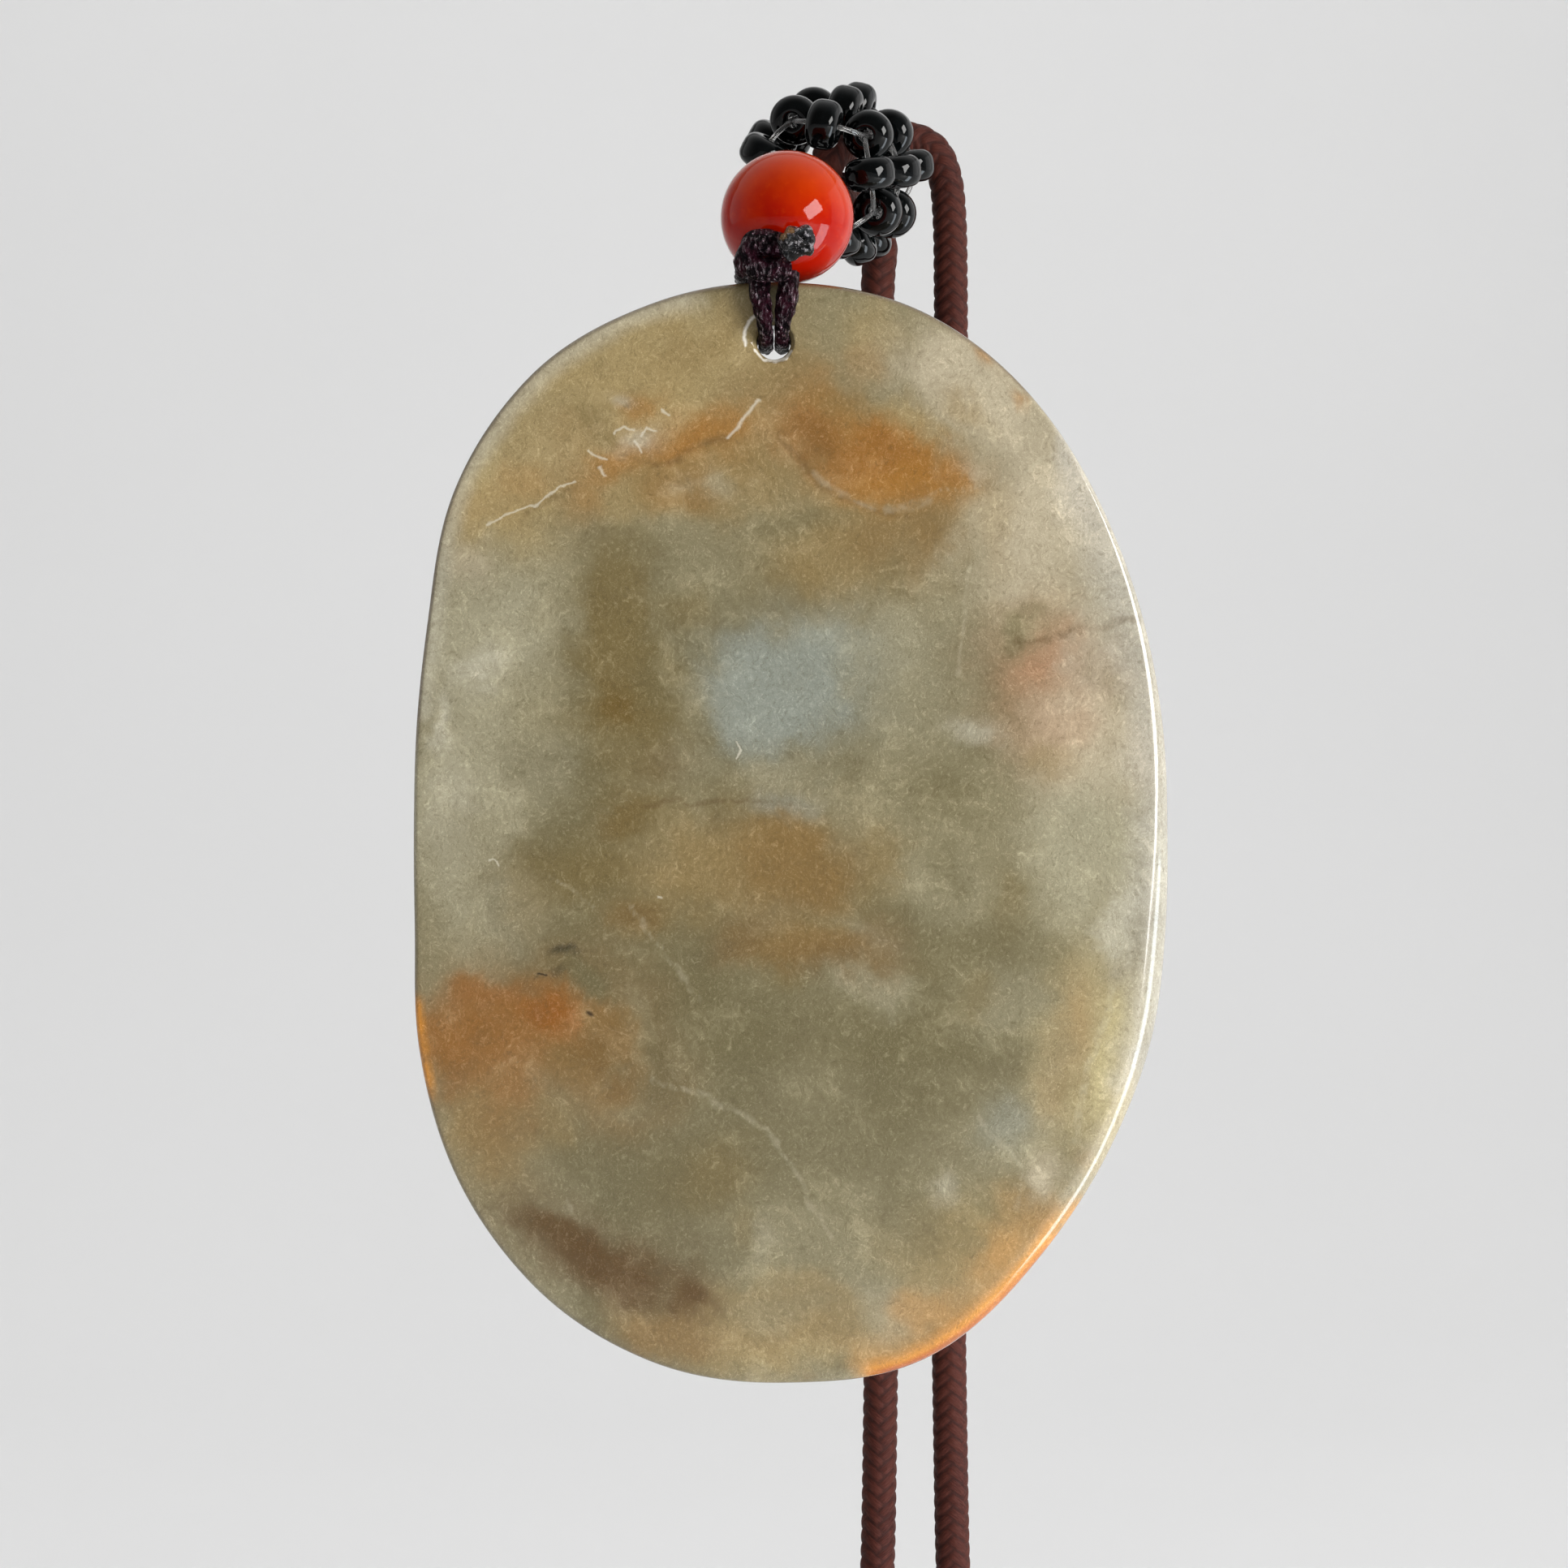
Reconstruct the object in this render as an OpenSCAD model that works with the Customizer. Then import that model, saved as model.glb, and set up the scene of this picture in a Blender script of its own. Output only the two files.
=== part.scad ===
// Jade plaque pendant on a braided neck cord, in millimetres, +Z up.
// The plaque faces -Y. The origin is the middle of the beaded bail, where the pendant hangs.

/* [Plaque] */
// Width of the plaque
plaque_w = 42.4; // [36:0.2:50]
// Height of the plaque
plaque_h = 61.8; // [54:0.2:72]
// Thickness of the plaque
plaque_t = 5; // [4:0.1:7]
// Fullness of the oval outline, 2 is an ellipse
plaque_fullness = 2.1; // [2:0.05:2.4]
// Rise of the middle of each face over its rim
face_crown = 0.25; // [0:0.05:0.5]
// Width of the front bevel at its widest, on the lower right side
bevel_w = 1.5; // [0.8:0.1:2.2]
// Radius of the rounded rim at the back
back_round = 0.8; // [0.3:0.1:1.4]

/* [Hanging hole] */
// Diameter of the hole
hole_d = 1.9; // [1.8:0.1:2.4]
// Middle of the hole below the plaque's top
hole_drop = 3.4; // [3:0.1:5]
// Middle of the hole beside the plaque's middle, to the left
hole_side = 1; // [0:0.1:2]
// Depth of the small chamfer at each mouth of the hole
hole_chamfer = 0.2; // [0.1:0.05:0.4]

/* [Red bead] */
// Diameter of the red bead
red_d = 7.54; // [6.5:0.02:9]
// Diameter of the bore through the red bead
red_bore_d = 1.3; // [1.2:0.1:2]
// Lean of the bore back from upright, in degrees
red_bore_lean = 50; // [40:1:55]
// Turn of the bore to the right, in degrees
red_bore_turn = 10; // [0:1:20]
// Middle of the red bead beside the plaque's middle, to the left
red_side = 0.25; // [0:0.05:1]
// Play between the red bead and the plaque's top edge
red_play = 0.12; // [0.05:0.01:0.3]

/* [Tie cord] */
// Diameter of the tie cord where it is slack
tie_d = 1.25; // [1:0.05:1.4]
// Diameter of the tie cord where it is pulled tight
tie_tight_d = 0.85; // [0.7:0.05:0.88]
// Width of the knot
knot_w = 3.8; // [3.2:0.1:4.4]
// Diameter of the melted end on the knot
melt_d = 1.9; // [1.4:0.1:2.2]

/* [Beaded bail] */
// Diameter of a black seed bead
seed_d = 2.95; // [2.6:0.05:3.1]
// Length of a black seed bead along its hole
seed_l = 1.95; // [1.6:0.05:2.1]
// Diameter of the hole in a black seed bead
seed_bore_d = 0.9; // [0.6:0.1:1.2]
// Radius of the round edges of a black seed bead
seed_round = 0.75; // [0.5:0.05:0.9]
// Beads round each row of the bail
row_beads = 5; // [5:1:6]
// Radius of the bail at its rows of lengthwise beads
bail_r = 4.2; // [4.1:0.05:4.6]
// Distance between neighbouring rows along the bail
row_pitch = 2.25; // [2.1:0.05:2.6]
// Turn of the bail's axis to the right, in degrees
bail_turn = 12; // [5:1:25]
// Rise of the bail's axis towards the back, in degrees
bail_rise = 11; // [5:1:20]
// Free space between the front of the bail and the red bead
bail_gap = 1.8; // [1.6:0.1:3]

/* [Neck cord] */
// Diameter of the braided neck cord
neck_d = 2; // [1.6:0.1:2]
// Distance between the two runs of the cord where the bail holds them
neck_spread = 3; // [3:0.05:3.1]
// Length of the sliding knot that closes the cord
slide_l = 16; // [12:1:18]
// Diameter of the sliding knot
slide_d = 4.6; // [4:0.1:6]

/* [Hidden] */

// Play between pieces that touch, round a strand and round the neck cord
PLAY = 0.05;
TIE_PLAY = 0.07;
SLIDE_PLAY = 0.1;
// Overrun of a cut past the face that it opens
CUT = 1;

// Columns: outline as a share of the oval, front bevel as a share of its widest.
// One row for each step of the turn, from the right side up over the top and round.
RIM_STEP = 15;
RIM_SHARE = 0;
RIM_BEVEL = 1;
RIM = [
    [0.998, 0.65], [1.000, 0.50], [1.000, 0.35], [0.998, 0.25], [1.000, 0.20], [1.000, 0.25],
    [1.000, 0.30], [1.022, 0.25], [1.064, 0.20], [1.072, 0.18], [1.028, 0.18], [1.008, 0.18],
    [1.001, 0.18], [1.012, 0.18], [1.052, 0.18], [1.070, 0.18], [1.054, 0.18], [1.022, 0.20],
    [1.000, 0.22], [1.012, 0.50], [1.000, 0.75], [1.008, 0.75], [1.019, 1.00], [1.007, 0.95]
];
// Columns: inset as a share of the rim's width, drop as a share of its depth
FRONT_RIM = [[1, 0], [0.62, 0.12], [0.30, 0.38], [0.08, 0.72], [0, 1]];
BACK_RIM = [[0, 1], [0.12, 0.52], [0.45, 0.12], [1, 0]];
// Depth of the front bevel: its least, and its share of the bevel's width
BEVEL_LEAST = 0.15;
BEVEL_SLOPE = 0.7;
// Rings on each face, as shares of the way from the middle to the rim
FACE_RINGS = [0.4, 0.75];
// Points round the plaque's outline
ROUND_POINTS = 96;

// Columns: kind of row, place along the bail in row pitches, radius as a share of
// the bail's radius, angle of the first bead in degrees
ROW_ALONG = 1;
ROW_RADIUS = 2;
ROW_ANGLE = 3;
BAIL_ROWS = [
    ["edge", -2, 0.79, 6],
    ["rung", -1, 0.90, 41],
    ["edge", 0, 0.96, 3],
    ["rung", 1, 0.95, 36],
    ["edge", 2, 0.96, 4]
];
// Direction from the red bead to the middle of the bail
BAIL_WAY = [2.45, 10.4, 3.7];
// Angle across the bail at which the neck cord's two runs lie
RUNS_ANGLE = 80;
// Length of the straight runs that the bail holds
RUNS_L = 4;

// Sides of the plain tubes that stand for cords, and steps between their route points
TUBE_SIDES = 8;
TUBE_STEPS = 2;

// Vector helpers
function unit(v) = v / norm(v);
function flat_to(v, way) = unit(v - way * (v * way));
function cubic(a, b, c, d, u) =
    b + (c - a) * u / 2
    + (2 * a - 5 * b + 4 * c - d) * u * u / 2
    + (3 * b - a - 3 * c + d) * u * u * u / 2;

// Points of a smooth line through the route, with its radius as the fourth value
function at(route, i) = route[max(0, min(len(route) - 1, i))];
function smooth(route, steps) = [
    for (i = [0 : len(route) - 2], s = [0 : steps - 1])
        cubic(at(route, i - 1), at(route, i), at(route, i + 1), at(route, i + 2), s / steps),
    route[len(route) - 1]
];
function place(p) = [p[0], p[1], p[2]];
function heading(line, i) = unit(place(at(line, i + 1)) - place(at(line, i - 1)));
// Sideways direction of each ring, carried along the line without twist
function sideways(line, i, last) =
    let (side = flat_to(last, heading(line, i)))
    i == len(line) - 1 ? [side] : concat([side], sideways(line, i + 1, side));

module tube(route, steps = TUBE_STEPS) {
    line = smooth(route, steps);
    first = flat_to(abs(heading(line, 0)[0]) < 0.7 ? [1, 0, 0] : [0, 1, 0], heading(line, 0));
    sides = sideways(line, 0, first);
    points = [
        for (i = [0 : len(line) - 1], j = [0 : TUBE_SIDES - 1])
            let (turn = 360 * j / TUBE_SIDES)
            place(line[i])
            + line[i][3] * (cos(turn) * sides[i] + sin(turn) * cross(heading(line, i), sides[i]))
    ];
    last = len(line) - 1;
    walls = [
        for (i = [0 : last - 1], j = [0 : TUBE_SIDES - 1])
            let (next = (j + 1) % TUBE_SIDES)
            [i * TUBE_SIDES + j, (i + 1) * TUBE_SIDES + j, (i + 1) * TUBE_SIDES + next, i * TUBE_SIDES + next]
    ];
    start = [for (j = [0 : TUBE_SIDES - 1]) j];
    end = [for (j = [TUBE_SIDES - 1 : -1 : 0]) last * TUBE_SIDES + j];
    polyhedron(points, concat([start], walls, [end]), convexity = 8);
}

// Bail: its own right, back and up, and a point in it from those three
BAIL_RIGHT = [cos(bail_turn), -sin(bail_turn), 0];
BAIL_BACK = [cos(bail_rise) * sin(bail_turn), cos(bail_rise) * cos(bail_turn), sin(bail_rise)];
BAIL_UP = cross(BAIL_RIGHT, BAIL_BACK);
function in_bail(x, y, z) = x * BAIL_RIGHT + y * BAIL_BACK + z * BAIL_UP;
RUNS_WAY = in_bail(cos(RUNS_ANGLE), 0, sin(RUNS_ANGLE));
LOOP_WAY = in_bail(-sin(RUNS_ANGLE), 0, cos(RUNS_ANGLE));

// Red bead: radius, middle, bore direction, and the two mouths of the bore
RED_R = red_d / 2;
RED_AT = -(RED_R + bail_gap + seed_d / 2 + 2 * row_pitch) * unit(BAIL_WAY);
BORE_WAY = [
    sin(red_bore_lean) * sin(red_bore_turn),
    sin(red_bore_lean) * cos(red_bore_turn),
    cos(red_bore_lean)
];
LOWER_MOUTH = RED_AT - RED_R * BORE_WAY;
UPPER_MOUTH = RED_AT + RED_R * BORE_WAY;

// Plaque: its middle, with the red bead on its top edge
PLAQUE_TOP = RED_AT[2] - RED_R - red_play;
PLAQUE_AT = [RED_AT[0] + red_side, RED_AT[1], PLAQUE_TOP - plaque_h / 2];
FACE_Y = PLAQUE_AT[1] - plaque_t / 2;
BACK_Y = PLAQUE_AT[1] + plaque_t / 2;
HOLE_X = PLAQUE_AT[0] - hole_side;
HOLE_Z = PLAQUE_TOP - hole_drop;

// Outline of the plaque: a value of the rim table at any angle, then the radius there
function rim(column, angle) =
    let (s = angle / RIM_STEP, i = floor(s), n = len(RIM))
    cubic(
        RIM[(i - 1 + n) % n][column], RIM[i % n][column],
        RIM[(i + 1) % n][column], RIM[(i + 2) % n][column], s - i
    );
function outline(angle) =
    rim(RIM_SHARE, angle) / pow(
        pow(abs(cos(angle)) / (plaque_w / 2), plaque_fullness)
        + pow(abs(sin(angle)) / (plaque_h / 2), plaque_fullness),
        1 / plaque_fullness
    );
function bevel(angle) = bevel_w * rim(RIM_BEVEL, angle);

// Rings of the plaque from front to back, each point as its radius and its depth
function front_ring(row, angle) = [
    outline(angle) - row[0] * bevel(angle),
    face_crown + row[1] * (BEVEL_LEAST + BEVEL_SLOPE * bevel(angle))
];
function back_ring(row, angle) = [
    outline(angle) - row[0] * back_round,
    plaque_t - face_crown - row[1] * back_round
];
function face_ring(share, rim_r) = [share * rim_r, face_crown * share * share];
function plaque_rings(angle) = concat(
    [for (share = FACE_RINGS) face_ring(share, outline(angle) - bevel(angle))],
    [for (row = FRONT_RIM) front_ring(row, angle)],
    [for (row = BACK_RIM) back_ring(row, angle)],
    [
        for (k = [len(FACE_RINGS) - 1 : -1 : 0])
            let (ring = face_ring(FACE_RINGS[k], outline(angle) - back_round))
            [ring[0], plaque_t - ring[1]]
    ]
);

module plaque_body() {
    rings = len(plaque_rings(0));
    points = concat(
        [
            for (i = [0 : ROUND_POINTS - 1])
                let (angle = 360 * i / ROUND_POINTS)
                for (ring = plaque_rings(angle))
                    [ring[0] * cos(angle), ring[1] - plaque_t / 2, ring[0] * sin(angle)]
        ],
        [[0, -plaque_t / 2, 0], [0, plaque_t / 2, 0]]
    );
    front = ROUND_POINTS * rings;
    faces = [
        for (i = [0 : ROUND_POINTS - 1])
            let (a = i * rings, b = ((i + 1) % ROUND_POINTS) * rings)
            each concat(
                [[front, b, a], [front + 1, a + rings - 1, b + rings - 1]],
                [for (k = [0 : rings - 2]) each [[a + k, b + k, a + k + 1], [b + k, b + k + 1, a + k + 1]]]
            )
    ];
    polyhedron(points, faces, convexity = 4);
}

module hole_cut() {
    flare_r = hole_d / 2 + hole_chamfer;
    translate([HOLE_X, FACE_Y - CUT, HOLE_Z]) rotate([-90, 0, 0])
        cylinder(h = plaque_t + 2 * CUT, d = hole_d, $fn = 48);
    for (mouth = [[FACE_Y + face_crown, 90], [BACK_Y - face_crown, -90]])
        translate([HOLE_X, mouth[0], HOLE_Z]) rotate([mouth[1], 0, 0])
            translate([0, 0, -hole_chamfer])
                cylinder(h = 2 * hole_chamfer, r1 = hole_d / 2, r2 = flare_r + hole_chamfer, $fn = 48);
}

module jade_plaque() {
    color("#a2a487")
    difference() {
        translate(PLAQUE_AT) plaque_body();
        hole_cut();
    }
}

module red_bead() {
    color("#c8301a")
    translate(RED_AT)
    difference() {
        sphere(d = red_d, $fn = 96);
        rotate([0, 0, -red_bore_turn]) rotate([-red_bore_lean, 0, 0])
            cylinder(h = red_d + 2 * CUT, d = red_bore_d, center = true, $fn = 32);
    }
}

// Seed bead with its hole along Z
module seed_bead() {
    difference() {
        rotate_extrude($fn = 48)
        intersection() {
            translate([0, -seed_l / 2]) square([seed_d / 2, seed_l]);
            union() {
                translate([0, -seed_l / 2]) square([seed_d / 2 - seed_round, seed_l]);
                translate([0, seed_round - seed_l / 2]) square([seed_d / 2, seed_l - 2 * seed_round]);
                for (end = [-1, 1])
                    translate([seed_d / 2 - seed_round, end * (seed_l / 2 - seed_round)])
                        circle(r = seed_round, $fn = 32);
            }
        }
        cylinder(h = seed_l + 2 * CUT, d = seed_bore_d, center = true, $fn = 24);
    }
}

module bail_bead(row, i) {
    this = BAIL_ROWS[row];
    angle = this[ROW_ANGLE] + 360 * i / row_beads;
    color("#16181a")
    rotate([bail_rise, 0, -bail_turn])
    rotate([0, -angle, 0])
    translate([bail_r * this[ROW_RADIUS], row_pitch * this[ROW_ALONG], 0])
    rotate([this[0] == "rung" ? 90 : 0, 0, 0])
        seed_bead();
}

// Tie cord. Each strand runs from the knot down the face and through the hole.
// Columns: out from the strand's place in the hole, forward of the face, above the
// hole's middle, and radius between tight (0) and slack (1).
STRAND_Z = 0.14;
STRAND_FRONT = [
    [0.40, 0.50, 3.70, 1.0],
    [0.34, 0.62, 2.70, 1.0],
    [0.20, 0.70, 1.80, 0.8],
    [0.08, 0.58, 1.10, 0.4],
    [0.02, 0.36, 0.50, 0.1],
    [0, -0.10, 0.10, 0],
    [0, -0.80, 0, 0]
];
STRAND_BACK = [
    [0, 1.00, 0, 0],
    [0, 0.05, 0.05, 0],
    [0.03, -0.42, 0.45, 0.1],
    [0.08, -0.62, 1.10, 0.2]
];
function tie_r(share) = (tie_tight_d + share * (tie_d - tie_tight_d)) / 2;
// Side is -1 for the left strand and 1 for the right one
function strand_x(side) = HOLE_X + side * (tie_tight_d / 2 + PLAY / 2);
function front_run(side) = [
    for (row = STRAND_FRONT)
        [strand_x(side) + side * row[0], FACE_Y - row[1], HOLE_Z + STRAND_Z + row[2], tie_r(row[3])]
];
function back_run(side) = [
    for (row = STRAND_BACK)
        [strand_x(side) + side * row[0], BACK_Y - row[1], HOLE_Z + STRAND_Z + row[2], tie_r(row[3])]
];

// The left strand comes back over the plaque's top edge, beside the red bead.
// Columns: from the plaque's middle line, from its middle depth, above its top edge,
// and radius as a share of the slack one.
OVER_TOP = [
    [-2.00, 3.20, -0.60, 0.8],
    [-2.60, 2.60, 0.30, 0.7],
    [-2.85, 1.40, 0.50, 0.62],
    [-2.86, 0, 0.50, 0.62],
    [-2.82, -1.40, 0.52, 0.62],
    [-2.82, -2.40, 0.74, 0.66],
    [-2.84, -3.00, 0.92, 0.7],
    [-2.84, -3.45, 0.98, 0.7]
];
LEFT_ROUTE = concat(
    front_run(-1),
    back_run(-1),
    [
        for (p = OVER_TOP)
            [PLAQUE_AT[0] + p[0], PLAQUE_AT[1] + p[1] * plaque_t / 5, PLAQUE_TOP + p[2], p[3] * tie_d / 2]
    ]
);

// The right strand goes up behind the red bead, round the neck cord's bight in the
// bail, and down through the red bead to the knot.
LOOP_R = neck_d / 2 + tie_tight_d / 2 + TIE_PLAY;
BIGHT_AT = in_bail(0, -neck_spread / 2, 0);
LOOP_SHARE = 0.6;
LOOP_FRONT = in_bail(0, -2 * row_pitch, 0);
function tight(p) = [p[0], p[1], p[2], tie_tight_d / 2];
function round_bight(angle) = tight(BIGHT_AT + LOOP_R * (cos(angle) * -LOOP_WAY + sin(angle) * BAIL_BACK));
BEHIND_RED = RED_AT + [0.6, RED_R + tie_tight_d, 0];
RIGHT_ROUTE = concat(
    front_run(1),
    back_run(1),
    [
        tight([HOLE_X + 0.8, BACK_Y + 0.75, PLAQUE_TOP - 0.8]),
        tight([HOLE_X + 1.1, BACK_Y + 1.4, PLAQUE_TOP + 0.8]),
        tight(BEHIND_RED + [-0.2, 0, -1.4]),
        tight(BEHIND_RED + [0, 0.1, 0.2]),
        tight(BEHIND_RED + [0.5, 0.6, 1.5]),
        tight(LOOP_FRONT + [0, -0.7, -0.9] - 0.4 * LOOP_R * LOOP_WAY),
        tight(LOOP_FRONT + 0.6 * BAIL_BACK - LOOP_SHARE * LOOP_R * LOOP_WAY),
        tight(BIGHT_AT - 1.1 * BAIL_BACK - 0.95 * LOOP_R * LOOP_WAY)
    ],
    [for (angle = [0 : 30 : 180]) round_bight(angle)],
    [
        tight(BIGHT_AT - 1.1 * BAIL_BACK + 0.95 * LOOP_R * LOOP_WAY),
        tight(LOOP_FRONT + 0.3 * BAIL_BACK + LOOP_SHARE * LOOP_R * LOOP_WAY),
        tight(UPPER_MOUTH + 1.6 * BORE_WAY),
        tight(UPPER_MOUTH + 0.6 * BORE_WAY),
        tight(RED_AT),
        tight(LOWER_MOUTH)
    ]
);

module tie_left() {
    color("#24141f") tube(LEFT_ROUTE);
}

module tie_right() {
    color("#24141f") tube(RIGHT_ROUTE);
}

// Knot: the tie cord's turn over both strands, in front of the red bead's lower mouth.
// Columns: right, back and up from the knot's middle as shares of its width, and
// radius as a share of the slack tie cord's.
KNOT_AT = LOWER_MOUTH - [0.5, tie_d / 2 + 0.58, 0.16];
KNOT_TURN = [
    [0.25, 0, 0.07, 0.90],
    [0.14, -0.02, 0.13, 1.05],
    [-0.06, -0.02, 0.16, 1.15],
    [-0.22, -0.01, 0.12, 1.10],
    [-0.32, -0.02, -0.03, 1.00],
    [-0.28, -0.05, -0.17, 0.97],
    [-0.14, -0.06, -0.225, 0.97],
    [0.06, -0.06, -0.235, 0.95],
    [0.20, -0.06, -0.235, 0.90],
    [0.32, -0.05, -0.225, 0.80]
];
KNOT_ROUTE = [
    for (row = KNOT_TURN)
        let (p = KNOT_AT + knot_w * place(row))
        [p[0], p[1], p[2], row[3] * tie_d / 2]
];
module tie_knot() {
    color("#24141f") tube(KNOT_ROUTE);
}

// Melted end of the tie cord, on the turn's first end
MELT_WAY = unit([0.4, -0.9, 0.12]);
module tie_melted_end() {
    color("#2a2a2c")
    translate(place(KNOT_ROUTE[0]) + (tie_d + melt_d) / 2 * MELT_WAY) sphere(d = melt_d, $fn = 48);
}

// Neck cord. Its bight lies in the bail: a half turn and two straight runs.
module cord_bight() {
    color("#5a3528")
    rotate([bail_rise, 0, -bail_turn])
    rotate([0, -RUNS_ANGLE, 0]) {
        rotate_extrude(angle = 180, start = 180, $fn = 64)
            translate([neck_spread / 2, 0]) circle(d = neck_d, $fn = 32);
        for (side = [-1, 1])
            translate([side * neck_spread / 2, 0, 0]) rotate([-90, 0, 0])
                cylinder(h = RUNS_L, d = neck_d, $fn = 32);
    }
}

// Middle line of the free neck cord, from the upper run's end in the bail, down the
// right side, through the sliding knot and up the left side to the lower run's end
LOOP_MIDDLE = 5.2;
LOOP_BOTTOM = -186;
LOOP_Y = 2.8;
NECK_FROM = [
    [3.3, 7.0, 3.15], [5.0, 7.9, 3.45], [6.45, 8.0, 2.7], [7.15, 7.9, 1.0], [7.4, 7.7, -1.6],
    [7.45, 7.4, -5]
];
// Right side of the loop, mirrored for the left side
NECK_SIDE = [
    [7.45, 7.1, -9], [7.4, 6.8, -16], [7.3, 6.4, -26], [7.2, 5.9, -38], [7.2, 5.4, -50],
    [7.2, 4.9, -62], [7.3, 4.5, -74], [7.6, 4.2, -86], [8.6, 3.9, -98], [10.6, 3.6, -110],
    [13.6, 3.4, -122], [17.2, 3.2, -134], [20.8, 3.0, -146], [23.4, 2.9, -157], [24.4, 2.8, -168],
    [23.8, 2.8, -174.2], [22.1, 2.8, -179.6], [19.4, 2.8, -183.6], [16.4, 2.8, -185.6]
];
NECK_TO = [
    [3.05, 7.4, -5], [3.2, 7.9, -3.2], [2.8, 8.4, -1.6], [1.9, 8.1, -0.6]
];
NECK_KNOT_SIDE = slide_l / 2 + neck_d / 2;
function run_end(side, along) = side * neck_spread / 2 * RUNS_WAY + (RUNS_L + along) * BAIL_BACK;
function neck(p) = [p[0], p[1], p[2], neck_d / 2];
function mirrored(p) = [2 * LOOP_MIDDLE - p[0], p[1], p[2]];
NECK_ROUTE = [
    for (p = concat(
        [run_end(1, 0), run_end(1, 1.2)],
        NECK_FROM,
        NECK_SIDE,
        [[LOOP_MIDDLE + NECK_KNOT_SIDE, LOOP_Y, LOOP_BOTTOM]],
        [[LOOP_MIDDLE, LOOP_Y, LOOP_BOTTOM]],
        [[LOOP_MIDDLE - NECK_KNOT_SIDE, LOOP_Y, LOOP_BOTTOM]],
        [for (i = [len(NECK_SIDE) - 1 : -1 : 0]) mirrored(NECK_SIDE[i])],
        NECK_TO,
        [run_end(-1, 1.2), run_end(-1, 0)]
    )) neck(p)
];

module neck_cord() {
    color("#5a3528") tube(NECK_ROUTE, 1);
}

// Sliding knot: a row of round turns about the cord, with a straight bore
SLIDE_TURNS = 8;
module slide_knot() {
    turn_r = slide_l / SLIDE_TURNS / 2;
    color("#5a3528")
    translate([LOOP_MIDDLE, LOOP_Y, LOOP_BOTTOM]) rotate([0, 90, 0])
    rotate_extrude($fn = 48)
    intersection() {
        translate([neck_d / 2 + SLIDE_PLAY, -slide_l / 2]) square([slide_d / 2, slide_l]);
        union() {
            translate([0, -slide_l / 2]) square([slide_d / 2 - turn_r, slide_l]);
            for (i = [0 : SLIDE_TURNS - 1])
                translate([slide_d / 2 - turn_r, (2 * i + 1) * turn_r - slide_l / 2])
                    circle(r = 0.94 * turn_r, $fn = 24);
        }
    }
}

function bead_name(row, i) = str("bail_bead_", row + 1, "_", i + 1);

jade_plaque();
red_bead();
tie_left();
tie_right();
tie_knot();
tie_melted_end();
cord_bight();
neck_cord();
slide_knot();
for (row = [0 : len(BAIL_ROWS) - 1], i = [0 : row_beads - 1])
    bail_bead(row, i);
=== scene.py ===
"""Jade plaque pendant: the dressed model and its studio.

Lengths are named in millimetres and turned into metres where a mesh, a light or
the camera is made.
"""

import math
import random

import bmesh
import bpy
import numpy as np
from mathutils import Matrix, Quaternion, Vector


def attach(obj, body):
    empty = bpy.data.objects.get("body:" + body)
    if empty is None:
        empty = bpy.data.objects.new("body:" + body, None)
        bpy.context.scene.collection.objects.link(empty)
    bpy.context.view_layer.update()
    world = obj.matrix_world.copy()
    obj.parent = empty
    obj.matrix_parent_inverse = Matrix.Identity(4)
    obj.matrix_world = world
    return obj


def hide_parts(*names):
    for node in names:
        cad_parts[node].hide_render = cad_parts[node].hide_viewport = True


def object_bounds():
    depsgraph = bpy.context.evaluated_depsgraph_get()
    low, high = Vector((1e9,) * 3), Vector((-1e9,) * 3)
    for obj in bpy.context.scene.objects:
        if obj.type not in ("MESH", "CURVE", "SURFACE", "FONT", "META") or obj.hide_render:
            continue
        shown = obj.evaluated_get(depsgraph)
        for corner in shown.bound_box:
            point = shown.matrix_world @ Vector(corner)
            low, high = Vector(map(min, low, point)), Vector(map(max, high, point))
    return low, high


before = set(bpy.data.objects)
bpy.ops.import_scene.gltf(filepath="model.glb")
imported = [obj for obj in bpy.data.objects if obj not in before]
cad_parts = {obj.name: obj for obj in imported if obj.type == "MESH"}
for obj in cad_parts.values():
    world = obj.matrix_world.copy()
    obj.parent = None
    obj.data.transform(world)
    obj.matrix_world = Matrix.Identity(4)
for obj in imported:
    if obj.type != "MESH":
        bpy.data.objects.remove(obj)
CAD_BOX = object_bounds()

MM = 0.001
rng = random.Random(7)


# Camera

# The photograph's view: level, straight at the plaque's face
EYE = (-2.682, -253.12, -35.84)
LENS = 98.38
SENSOR = 36.0


def make_camera():
    data = bpy.data.cameras.new("camera")
    data.sensor_width = SENSOR
    data.lens = LENS
    camera = bpy.data.objects.new("camera", data)
    camera.location = Vector(EYE) * MM
    camera.rotation_euler = (math.radians(90), 0, 0)
    bpy.context.collection.objects.link(camera)
    bpy.context.scene.camera = camera


make_camera()


# Sizes and places

PLAQUE_W, PLAQUE_H, PLAQUE_T = 42.4, 61.8, 5.0
FULLNESS = 2.1
CROWN = 0.25
BEVEL_W = 1.5
BACK_ROUND = 0.8
HOLE_D, HOLE_DROP, HOLE_SIDE, HOLE_CHAMFER = 1.9, 3.4, 1.0, 0.2

RED_D, RED_BORE_D, RED_SIDE, RED_PLAY = 7.54, 1.3, 0.25, 0.12
BORE_LEAN, BORE_TURN = 50, 10

TIE_D, TIE_TIGHT_D = 1.25, 0.85
KNOT_W = 3.8
MELT_D = 1.9

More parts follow.
